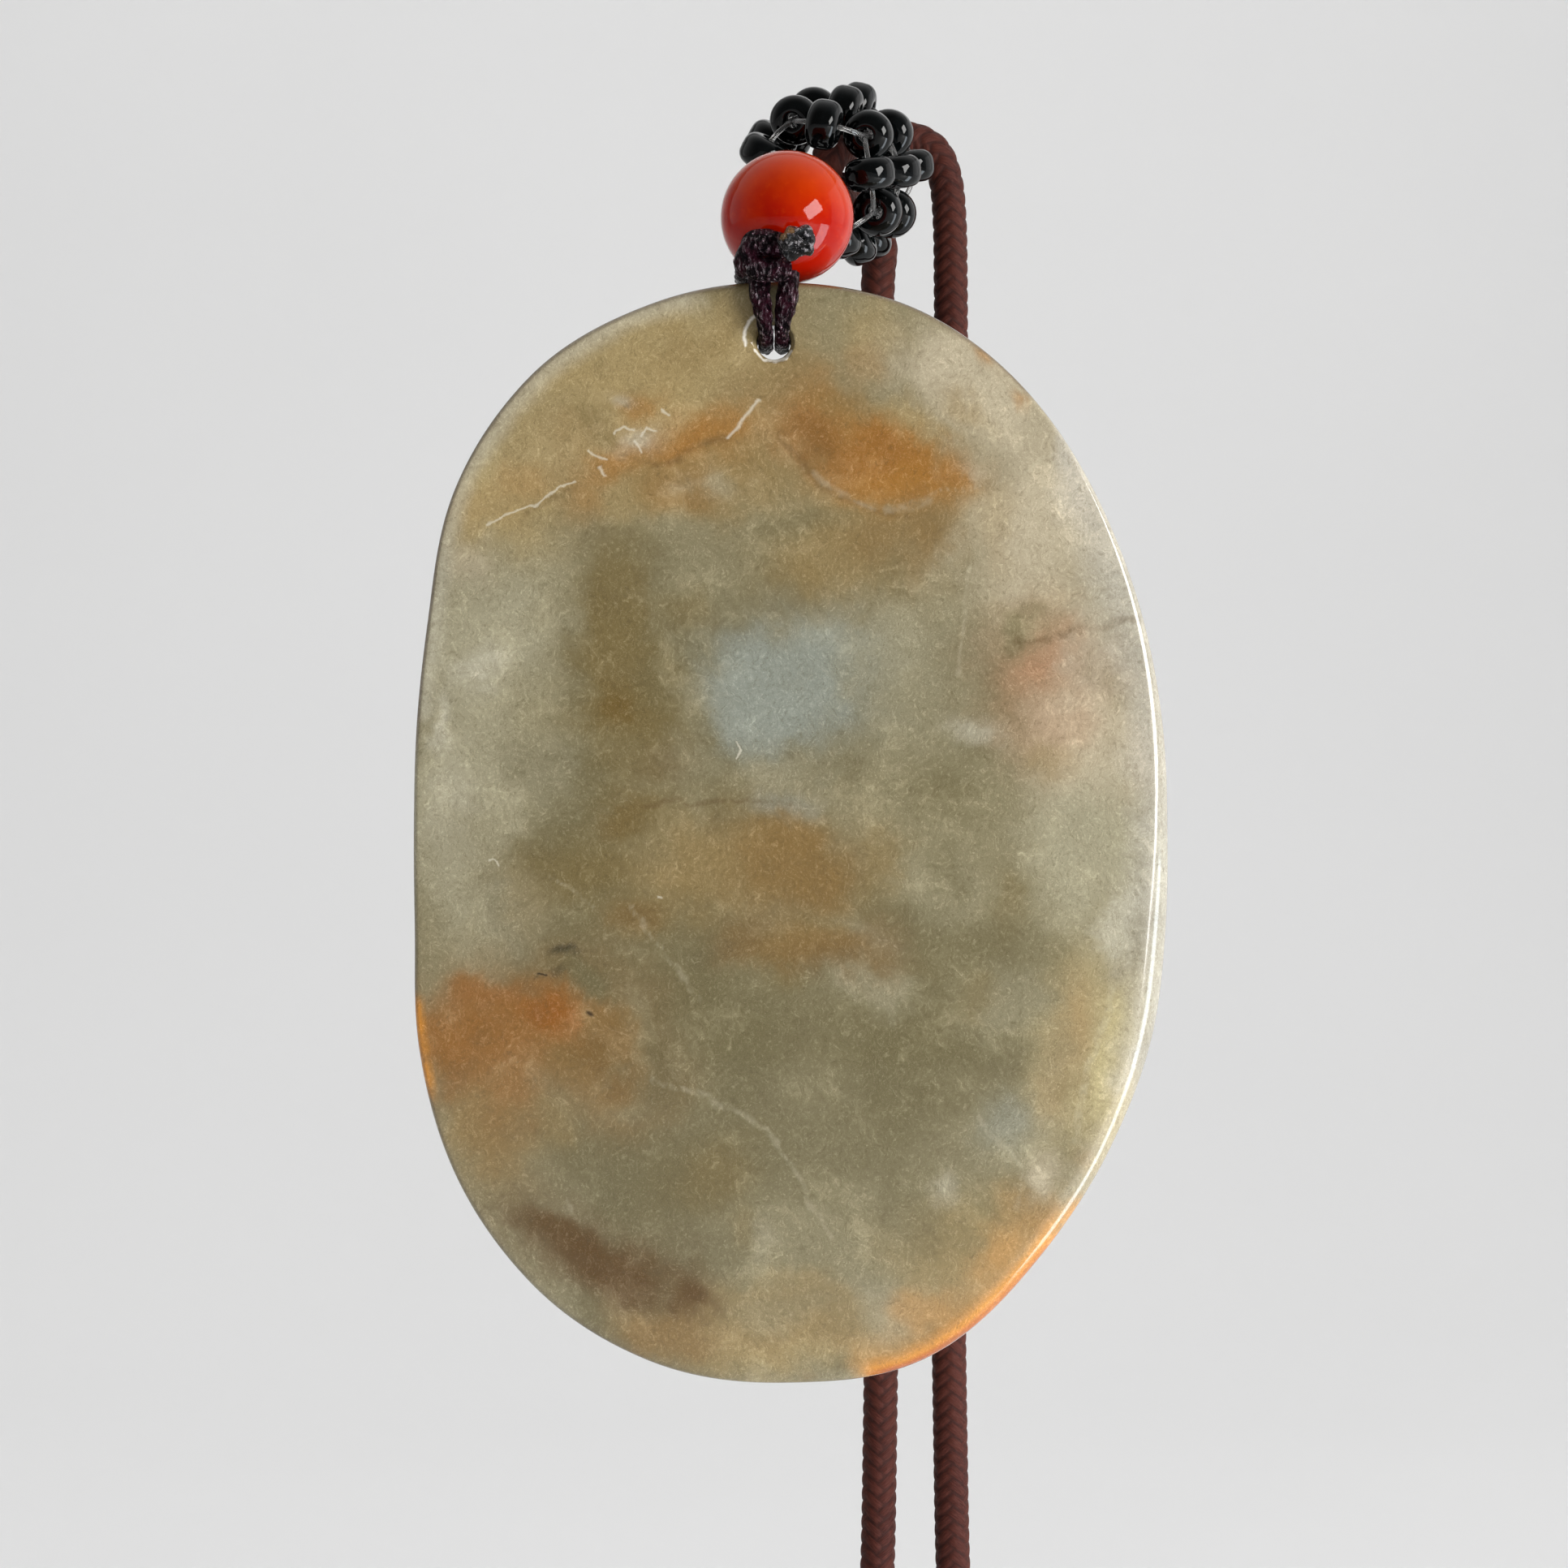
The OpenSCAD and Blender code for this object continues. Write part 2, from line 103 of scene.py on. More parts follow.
SEED_D, SEED_L, SEED_BORE_D, SEED_ROUND = 2.95, 1.95, 0.9, 0.75
ROW_BEADS = 5
BAIL_R, ROW_PITCH, BAIL_TURN, BAIL_RISE, BAIL_GAP = 4.2, 2.25, 12, 11, 1.8

NECK_D, NECK_SPREAD, RUNS_L, RUNS_ANGLE = 2.0, 3.0, 4.0, 80
SLIDE_L, SLIDE_D, SLIDE_TURNS = 16.0, 4.6, 8

PLAY = 0.05
TIE_PLAY = 0.07


def vec(*values):
    return np.array(values, dtype=float)


def unit(v):
    return v / np.linalg.norm(v)


def sin(angle):
    return math.sin(math.radians(angle))


def cos(angle):
    return math.cos(math.radians(angle))


# The bail's own right, back and up
BAIL_RIGHT = vec(cos(BAIL_TURN), -sin(BAIL_TURN), 0)
BAIL_BACK = vec(cos(BAIL_RISE) * sin(BAIL_TURN), cos(BAIL_RISE) * cos(BAIL_TURN), sin(BAIL_RISE))
BAIL_UP = np.cross(BAIL_RIGHT, BAIL_BACK)


def in_bail(x, y, z):
    return x * BAIL_RIGHT + y * BAIL_BACK + z * BAIL_UP


RUNS_WAY = in_bail(cos(RUNS_ANGLE), 0, sin(RUNS_ANGLE))
LOOP_WAY = in_bail(-sin(RUNS_ANGLE), 0, cos(RUNS_ANGLE))

# Red bead, its bore, and the plaque under it
RED_R = RED_D / 2
BAIL_WAY = vec(2.45, 10.4, 3.7)
RED_AT = -(RED_R + BAIL_GAP + SEED_D / 2 + 2 * ROW_PITCH) * unit(BAIL_WAY)
BORE_WAY = vec(sin(BORE_LEAN) * sin(BORE_TURN), sin(BORE_LEAN) * cos(BORE_TURN), cos(BORE_LEAN))
LOWER_MOUTH = RED_AT - RED_R * BORE_WAY
UPPER_MOUTH = RED_AT + RED_R * BORE_WAY
PLAQUE_TOP = RED_AT[2] - RED_R - RED_PLAY
PLAQUE_AT = vec(RED_AT[0] + RED_SIDE, RED_AT[1], PLAQUE_TOP - PLAQUE_H / 2)
FACE_Y = PLAQUE_AT[1] - PLAQUE_T / 2
BACK_Y = PLAQUE_AT[1] + PLAQUE_T / 2
HOLE_X = PLAQUE_AT[0] - HOLE_SIDE
HOLE_Z = PLAQUE_TOP - HOLE_DROP


# Lines and meshes

SMOOTH_CUTS = 24


def between(a, b, c, d, u):
    """The smooth curve from b to c at shares u of the way, with a before and d after."""
    return (
        b
        + (c - a) * u / 2
        + (2 * a - 5 * b + 4 * c - d) * u**2 / 2
        + (3 * b - a - 3 * c + d) * u**3 / 2
    )


def smooth(route, step):
    """A smooth line through the route's rows, in even steps of that length."""
    route = np.array(route, dtype=float)
    padded = np.vstack([route[0], route, route[-1]])
    u = np.linspace(0, 1, SMOOTH_CUTS, endpoint=False)[:, None]
    parts = [between(*rows, u) for rows in zip(padded, padded[1:], padded[2:], padded[3:])]
    line = np.vstack(parts + [route[-1:]])
    gone = np.concatenate([[0], np.cumsum(np.linalg.norm(np.diff(line[:, :3], axis=0), axis=1))])
    marks = np.linspace(0, gone[-1], max(2, round(gone[-1] / step)) + 1)
    return np.column_stack([np.interp(marks, gone, column) for column in line.T]), marks


def frames(line):
    """Two side directions for each point of the line, carried along it without twist."""
    ahead = np.gradient(line[:, :3], axis=0)
    ahead /= np.linalg.norm(ahead, axis=1)[:, None]
    side = vec(1, 0, 0)
    rights = np.empty_like(ahead)
    for i, way in enumerate(ahead):
        side = unit(side - way * side.dot(way))
        rights[i] = side
    return rights, np.cross(ahead, rights)


def tube_points(line, rights, ups, radius, turn, wide=1):
    """Rings of points round the line. Radius and turn have a row for each ring."""
    angle = 2 * np.pi * turn
    aside = (radius * np.cos(angle) * wide)[..., None] * rights[:, None]
    above = (radius * np.sin(angle))[..., None] * ups[:, None]
    return (line[:, None, :3] + aside + above).reshape(-1, 3)


def ring_faces(rings, around, closed=False):
    """Squares between rings of points; closed joins the last ring to the first."""
    ring, place = np.mgrid[0 : rings if closed else rings - 1, 0:around]
    next_ring, next_place = (ring + 1) % rings, (place + 1) % around
    corners = ((ring, place), (ring, next_place), (next_ring, next_place), (next_ring, place))
    return np.stack([r * around + p for r, p in corners], -1).reshape(-1, 4).tolist()


def end_caps(rings, around):
    last = (rings - 1) * around
    return [list(range(around))[::-1], list(range(last, last + around))]


def link_mesh(name, verts, faces):
    """A smooth mesh object from points in millimetres."""
    mesh = bpy.data.meshes.new(name)
    mesh.from_pydata((np.asarray(verts) * MM).tolist(), [], faces)
    mesh.shade_smooth()
    piece = bpy.data.objects.new(name, mesh)
    bpy.context.collection.objects.link(piece)
    return piece


def turned_out(piece):
    """The closed piece with every face looking outwards."""
    work = bmesh.new()
    work.from_mesh(piece.data)
    bmesh.ops.recalc_face_normals(work, faces=work.faces)
    work.to_mesh(piece.data)
    work.free()
    return piece


def point_values(piece, name, values, kind="FLOAT"):
    """A number or a colour for each point of the piece, which its material reads."""
    layer = piece.data.attributes.new(name, kind, "POINT")
    key = "color" if kind == "FLOAT_COLOR" else "value"
    layer.data.foreach_set(key, np.asarray(values, dtype=np.float32).ravel())


def dress(piece, material, slot, *nodes):
    piece.data.materials.clear()
    piece.data.materials.append(material)
    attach(piece, "root")
    if nodes:
        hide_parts(*nodes)


# Braided cord

# Strands each way round the cord, and the distance between them along it
BRAID_STRANDS = 6
BRAID_PITCH = 0.85
# Squares of the mesh along each side of a cell of the braid
BRAID_CUTS = 5
BRAID_DEPTH = 0.10
# Crests of the yarns over the cord's plain radius
BRAID_CREST = 1.05
# A square's corners, as steps round and along the tube, and the corners of its two
# triangles where a strand of the first way lies on top, and of the second way
CORNERS = np.array([(0, 0), (1, 0), (0, 1), (1, 1)])
FIRST_CUT = [(0, 1, 2), (1, 3, 2)]
SECOND_CUT = [(0, 1, 3), (0, 3, 2)]


def braid_top(a, b, i, j):
    """The strand on top in the cell i, j of a braid of two strands over two: the place
    across it, the place along its float, and its number."""
    over = np.mod(i + j, 4) < 2
    across = np.where(over, a - i - 0.5, b - j - 0.5)
    along = np.where(over, np.mod(i + b, 4) / 2, (np.mod(a + j, 4) - 2) / 2)
    strand = np.where(over, np.mod(i, BRAID_STRANDS), BRAID_STRANDS + np.mod(j, BRAID_STRANDS))
    return across, np.clip(along, 0, 1), strand


def braid_height(a, b):
    """How high the braid's surface stands, from 0 to 1."""
    across, along, _ = braid_top(a, b, np.floor(a + 1e-6), np.floor(b + 1e-6))
    swell = np.sin(np.pi * along) ** 0.6
    return np.sqrt(np.clip(1 - (2 * across) ** 2, 0, 1)) * (0.35 + 0.65 * swell)


def braided_tube(name, route, turn_start=0.0, wide=1):
    """A closed braided tube along the route, whose rows are x, y, z and radius. Its
    section is stretched sideways by wide."""
    step = BRAID_PITCH / BRAID_CUTS
    line, marks = smooth(route, step)
    rings, around = len(line), BRAID_STRANDS * BRAID_CUTS
    turn, along = np.meshgrid(np.arange(around) / around, np.arange(rings) * step)
    strands, pitches = turn * BRAID_STRANDS, along / BRAID_PITCH
    height = braid_height(strands + pitches, strands - pitches)
    radius = line[:, 3:4] * (BRAID_CREST - BRAID_DEPTH * (1 - height))
    verts = tube_points(line, *frames(line), radius, turn + turn_start, wide)

    row, col = (grid.reshape(-1, 1, 1) for grid in np.mgrid[0 : rings - 1, 0:around])
    # the middle of a square can lie on the edge of a cell, so it leans to one side
    middle_a, middle_b = (col + row + 1) / BRAID_CUTS - 1e-4, (col - row) / BRAID_CUTS + 1e-4
    over = np.mod(np.floor(middle_a) + np.floor(middle_b), 4) < 2
    corner = CORNERS[np.where(over, FIRST_CUT, SECOND_CUT)]
    u, v = col + corner[..., 0], row + corner[..., 1]
    faces = (v * around + u % around).reshape(-1, 3).tolist()
    mean_u, mean_v = u.mean(-1, keepdims=True), v.mean(-1, keepdims=True)
    i, j = (np.floor((mean_u + sign * mean_v) / BRAID_CUTS) for sign in (1, -1))
    across, along, strand = braid_top((u + v) / BRAID_CUTS, (u - v) / BRAID_CUTS, i, j)
    uvs = np.stack([across + 0.5 + 2 * strand, along], -1).reshape(-1, 2)

    piece = link_mesh(name, verts, faces + end_caps(rings, around))
    flat_uv = np.zeros((len(piece.data.loops), 2), dtype=np.float32)
    flat_uv[: len(uvs)] = uvs
    piece.data.uv_layers.new(name="strand").data.foreach_set("uv", flat_uv.ravel())
    point_values(piece, "height", height)
    return piece, line, marks[-1]


# Middle line of the free neck cord, as its solid has it
LOOP_MIDDLE, LOOP_Y, LOOP_BOTTOM = 5.2, 2.8, -186
NECK_FROM = [
    (3.3, 7.0, 3.15), (5.0, 7.9, 3.45), (6.45, 8.0, 2.7), (7.15, 7.9, 1.0), (7.4, 7.7, -1.6),
    (7.45, 7.4, -5),
]
NECK_SIDE = [
    (7.45, 7.1, -9), (7.4, 6.8, -16), (7.3, 6.4, -26), (7.2, 5.9, -38), (7.2, 5.4, -50),
    (7.2, 4.9, -62), (7.3, 4.5, -74), (7.6, 4.2, -86), (8.6, 3.9, -98), (10.6, 3.6, -110),
    (13.6, 3.4, -122), (17.2, 3.2, -134), (20.8, 3.0, -146), (23.4, 2.9, -157), (24.4, 2.8, -168),
    (23.8, 2.8, -174.2), (22.1, 2.8, -179.6), (19.4, 2.8, -183.6), (16.4, 2.8, -185.6),
]
NECK_TO = [(3.05, 7.4, -5), (3.2, 7.9, -3.2), (2.8, 8.4, -1.6), (1.9, 8.1, -0.6)]
MOUTH_LEAD = 1.2


def run_end(side, along):
    return side * NECK_SPREAD / 2 * RUNS_WAY + (RUNS_L + along) * BAIL_BACK


def neck_route():
    knot_side = SLIDE_L / 2 + NECK_D / 2
    points = [run_end(1, 0), run_end(1, MOUTH_LEAD), *NECK_FROM, *NECK_SIDE]
    points += [(LOOP_MIDDLE + s * knot_side, LOOP_Y, LOOP_BOTTOM) for s in (1, 0, -1)]
    points += [(2 * LOOP_MIDDLE - x, y, z) for x, y, z in reversed(NECK_SIDE)]
    points += [*NECK_TO, run_end(-1, MOUTH_LEAD), run_end(-1, 0)]
    return [(*p, NECK_D / 2) for p in points]


# Materials


def colour(hex_code):
    """A colour from its usual six digits."""
    parts = [int(hex_code[k : k + 2], 16) / 255 for k in (1, 3, 5)]
    return (*[c / 12.92 if c <= 0.04045 else ((c + 0.055) / 1.055) ** 2.4 for c in parts], 1)


class Shade:
    """A material with short ways to add and join its nodes."""

    def __init__(self, name, **constants):
        self.material = bpy.data.materials.new(name)
        self.material.use_nodes = True
        self.tree = self.material.node_tree
        self.shader = self.tree.nodes["Principled BSDF"]
        for key, value in constants.items():
            self.put(self.shader.inputs[key.replace("_", " ")], value)

    def finish(self, base, roughness, normal=None):
        for key, value in (("Base Color", base), ("Roughness", roughness), ("Normal", normal)):
            if value is not None:
                self.put(self.shader.inputs[key], value)
        return self.material

    def put(self, socket, value):
        if isinstance(value, bpy.types.NodeSocket):
            self.tree.links.new(value, socket)
        else:
            socket.default_value = colour(value) if isinstance(value, str) else value

    def node(self, kind, inputs=None, **settings):
        node = self.tree.nodes.new(kind)
        for key, value in settings.items():
            setattr(node, key, value)
        for key, value in (inputs or {}).items():
            self.put(node.inputs[key], value)
        return node

    def math(self, operation, *values, clamp=False):
        inputs = dict(enumerate(values))
        return self.node("ShaderNodeMath", inputs, operation=operation, use_clamp=clamp).outputs[0]

    def vector(self, operation, *values):
        node = self.node("ShaderNodeVectorMath", dict(enumerate(values)), operation=operation)
        return node.outputs["Value" if operation in ("LENGTH", "DOT_PRODUCT") else "Vector"]

    def after(self, place, value):
        """The place again, but worked out only once the value is: a long row of lines
        then holds few values at a time."""
        return self.vector("MULTIPLY_ADD", value, (1e-7, 1e-7, 1e-7), place)

    def noise(self, vector, scale, detail=3, rough=0.5, out="Fac"):
        inputs = {"Vector": vector, "Scale": scale, "Detail": detail, "Roughness": rough}
        return self.node("ShaderNodeTexNoise", inputs).outputs[out]

    def fit(self, value, lo, hi, to_lo=0.0, to_hi=1.0):
        inputs = {"Value": value, "From Min": lo, "From Max": hi, "To Min": to_lo, "To Max": to_hi}
        node = self.node("ShaderNodeMapRange", inputs, interpolation_type="SMOOTHSTEP")
        return node.outputs["Result"]

    def mix(self, factor, a, b):
        node = self.node("ShaderNodeMix", data_type="RGBA")
        for key, value in ((0, factor), (6, a), (7, b)):
            self.put(node.inputs[key], value)
        return node.outputs[2]

    def tinted(self, base, value, lo, hi, most, tint):
        """The base with more of the tint as the value goes from lo to hi."""
        return self.mix(self.fit(value, lo, hi, 0.0, most), base, tint)

    def attribute(self, name, out="Fac"):
        return self.node("ShaderNodeAttribute", attribute_name=name).outputs[out]

    def bump(self, height, distance, strength):
        inputs = {"Height": height, "Distance": distance, "Strength": strength}
        return self.node("ShaderNodeBump", inputs).outputs["Normal"]

    def place(self, offset=(0, 0, 0)):
        """The point's place in the row frame in millimetres, from the offset."""
        source = self.node("ShaderNodeTexCoord").outputs["Object"]
        inputs = {"Vector": source, "Scale": (1 / MM,) * 3}
        scaled = self.node("ShaderNodeMapping", inputs, vector_type="POINT").outputs[0]
        return self.vector("SUBTRACT", scaled, tuple(offset))

    def near_line(self, place, start, end, width):
        """1 on the line from start to end, and 0 from its width away."""
        way = Vector(end) - Vector(start)
        gone = self.vector("SUBTRACT", place, start)
        along = self.vector("DOT_PRODUCT", gone, way)
        share = self.math("DIVIDE", along, way.dot(way), clamp=True)
        nearest = self.vector("MULTIPLY", share, way)
        return self.fit(self.vector("LENGTH", self.vector("SUBTRACT", gone, nearest)), width, 0.0)


def neck_cord_material():
    s = Shade("braided_neck_cord", Specular_IOR_Level=0.22, Sheen_Weight=0.05, Sheen_Roughness=0.4)
    uv = s.node("ShaderNodeUVMap", uv_map="strand").outputs[0]
    fibre = s.noise(s.vector("MULTIPLY", uv, (9.0, 1.4, 0.0)), 1.6, 3, 0.6)
    patch = s.noise(s.place(), 0.35, 3)
    base = s.mix(s.fit(patch, 0.35, 0.65), "#38130d", "#481e15")
    # lighter fibres: partly the yarn's own tone, partly a painted sheen on them
    base = s.tinted(base, fibre, 0.35, 0.7, 1.0, "#55271c")
    # painted shade: darker where the braid's surface sinks between the strands
    base = s.tinted(base, s.attribute("height"), 0.75, 0.1, 0.65, "#2a100b")
    return s.finish(base, s.fit(fibre, 0.3, 0.7, 0.78, 0.58), s.bump(fibre, 0.00006, 0.7))


def tie_cord_material():
    s = Shade("waxed_tie_cord")
    place = s.place()
    grain = s.noise(place, 1.5, 4, 0.6)
    fine = s.noise(s.vector("MULTIPLY", place, (1.0, 1.0, 0.4)), 5.5, 4, 0.6)
    base = s.mix(s.fit(grain, 0.42, 0.62), "#080205", "#2c0d18")
    # painted shade: darker in the grooves between the plies
    base = s.tinted(base, s.attribute("height"), 0.5, 0.0, 1.0, "#040203")
    # purple tint on the fibres, partly a painted sheen where the specular glints lie
    base = s.tinted(base, fine, 0.50, 0.62, 0.40, "#4c1630")
    # painted glints: small pale pink flecks on the fibres
    base = s.tinted(base, fine, 0.65, 0.70, 0.95, "#dcb0c4")
    s.put(s.shader.inputs["Specular IOR Level"], s.fit(fine, 0.50, 0.62, 0.05, 0.9))
    lumps = s.math("ADD", grain, s.math("MULTIPLY", fine, 0.7))
    return s.finish(base, s.fit(fine, 0.46, 0.62, 0.45, 0.10), s.bump(lumps, 0.0006, 1.0))


def melted_material():
    s = Shade("melted_cord_end")
    place = s.place()
    lumps = s.noise(place, 1.7, 3, 0.6)
    fine = s.noise(place, 3.4, 4, 0.65)
    base = s.mix(s.fit(lumps, 0.4, 0.65), "#060607", "#1c1d22")
    # painted glints: pale flecks over the drop
    base = s.tinted(base, fine, 0.54, 0.61, 0.9, "#cfc8cc")
    spot = tuple(MELT_AT + MELT_D / 2 * vec(-0.7, -0.35, 0.6))
    off = s.vector("LENGTH", s.vector("SUBTRACT", place, spot))
    ragged = s.math("ADD", off, s.math("MULTIPLY", s.math("SUBTRACT", fine, 0.5), 0.9))
    base = s.tinted(base, ragged, 0.60, 0.46, 1.0, "#a98150")
    bump = s.bump(s.math("ADD", lumps, fine), 0.0016, 1.0)
    return s.finish(base, s.fit(fine, 0.35, 0.7, 0.08, 0.3), bump)


def black_glass_material():
    s = Shade("black_glass", Specular_IOR_Level=0.28)
    place = s.place()
    cloud = s.noise(place, 0.9, 3)
    base = s.mix(s.fit(cloud, 0.35, 0.7), "#020303", "#080b0c")
    base = s.tinted(base, s.noise(place, 14.0, 2, 0.6), 0.70, 0.78, 0.3, "#39424a")
    return s.finish(base, s.fit(cloud, 0.3, 0.7, 0.02, 0.06), s.bump(cloud, 0.00005, 0.2))


def carnelian_material():
    s = Shade(
        "carnelian", Specular_IOR_Level=0.25, Subsurface_Weight=0.1,
        Subsurface_Radius=(1.0, 0.2, 0.05), Subsurface_Scale=0.0008,
    )
    place = s.place(RED_AT)
    cloud = s.noise(place, 0.3, 4, 0.55)
    fine = s.noise(place, 2.2, 4, 0.6)
    up = s.node("ShaderNodeSeparateXYZ", {0: place}).outputs[2]
    base = s.mix(s.fit(cloud, 0.35, 0.65), "#a21000", "#b31e00")
    # painted glow: lighter orange towards the bead's top, broken up by the cloud
    painted_top_glow = s.math("ADD", up, s.math("MULTIPLY", s.math("SUBTRACT", cloud, 0.5), 4.0))
    base = s.tinted(base, painted_top_glow, -1.0, 3.4, 0.85, "#bd3a00")
    base = s.tinted(base, fine, 0.55, 0.75, 0.20, "#cf4408")
    return s.finish(base, s.fit(fine, 0.3, 0.7, 0.03, 0.07), s.bump(fine, 0.00002, 0.15))


def thread_material():
    s = Shade("clear_thread", Transmission_Weight=0.92, IOR=1.5)
    cloud = s.noise(s.place(), 2.0, 2)
    return s.finish(s.mix(cloud, "#a9a6a2", "#d9dadb"), s.fit(cloud, 0.3, 0.7, 0.05, 0.15))


# Jade

TINTS = {
    "khaki": "#a08b5f", "olive": "#73633d", "grey_green": "#6b6244", "sage": "#867d60",
    "blue_grey": "#8b8f84", "pale": "#9e977d", "cream": "#bcaf95", "cotton": "#bcb6a2",
    "milk": "#bdb8ae", "blush": "#a67e5e", "brown": "#82673c", "tan": "#8a744a",
    "ochre": "#9b6b2e", "rust": "#8c5f2c", "rust_deep": "#8e5110", "gold": "#b0a078",
    "straw": "#bfb182", "amber": "#d48a26", "amber_deep": "#a65006", "gold_brown": "#bd8d50",
    "umber": "#563c14", "moss": "#6a5427", "soot": "#2c281a",
}
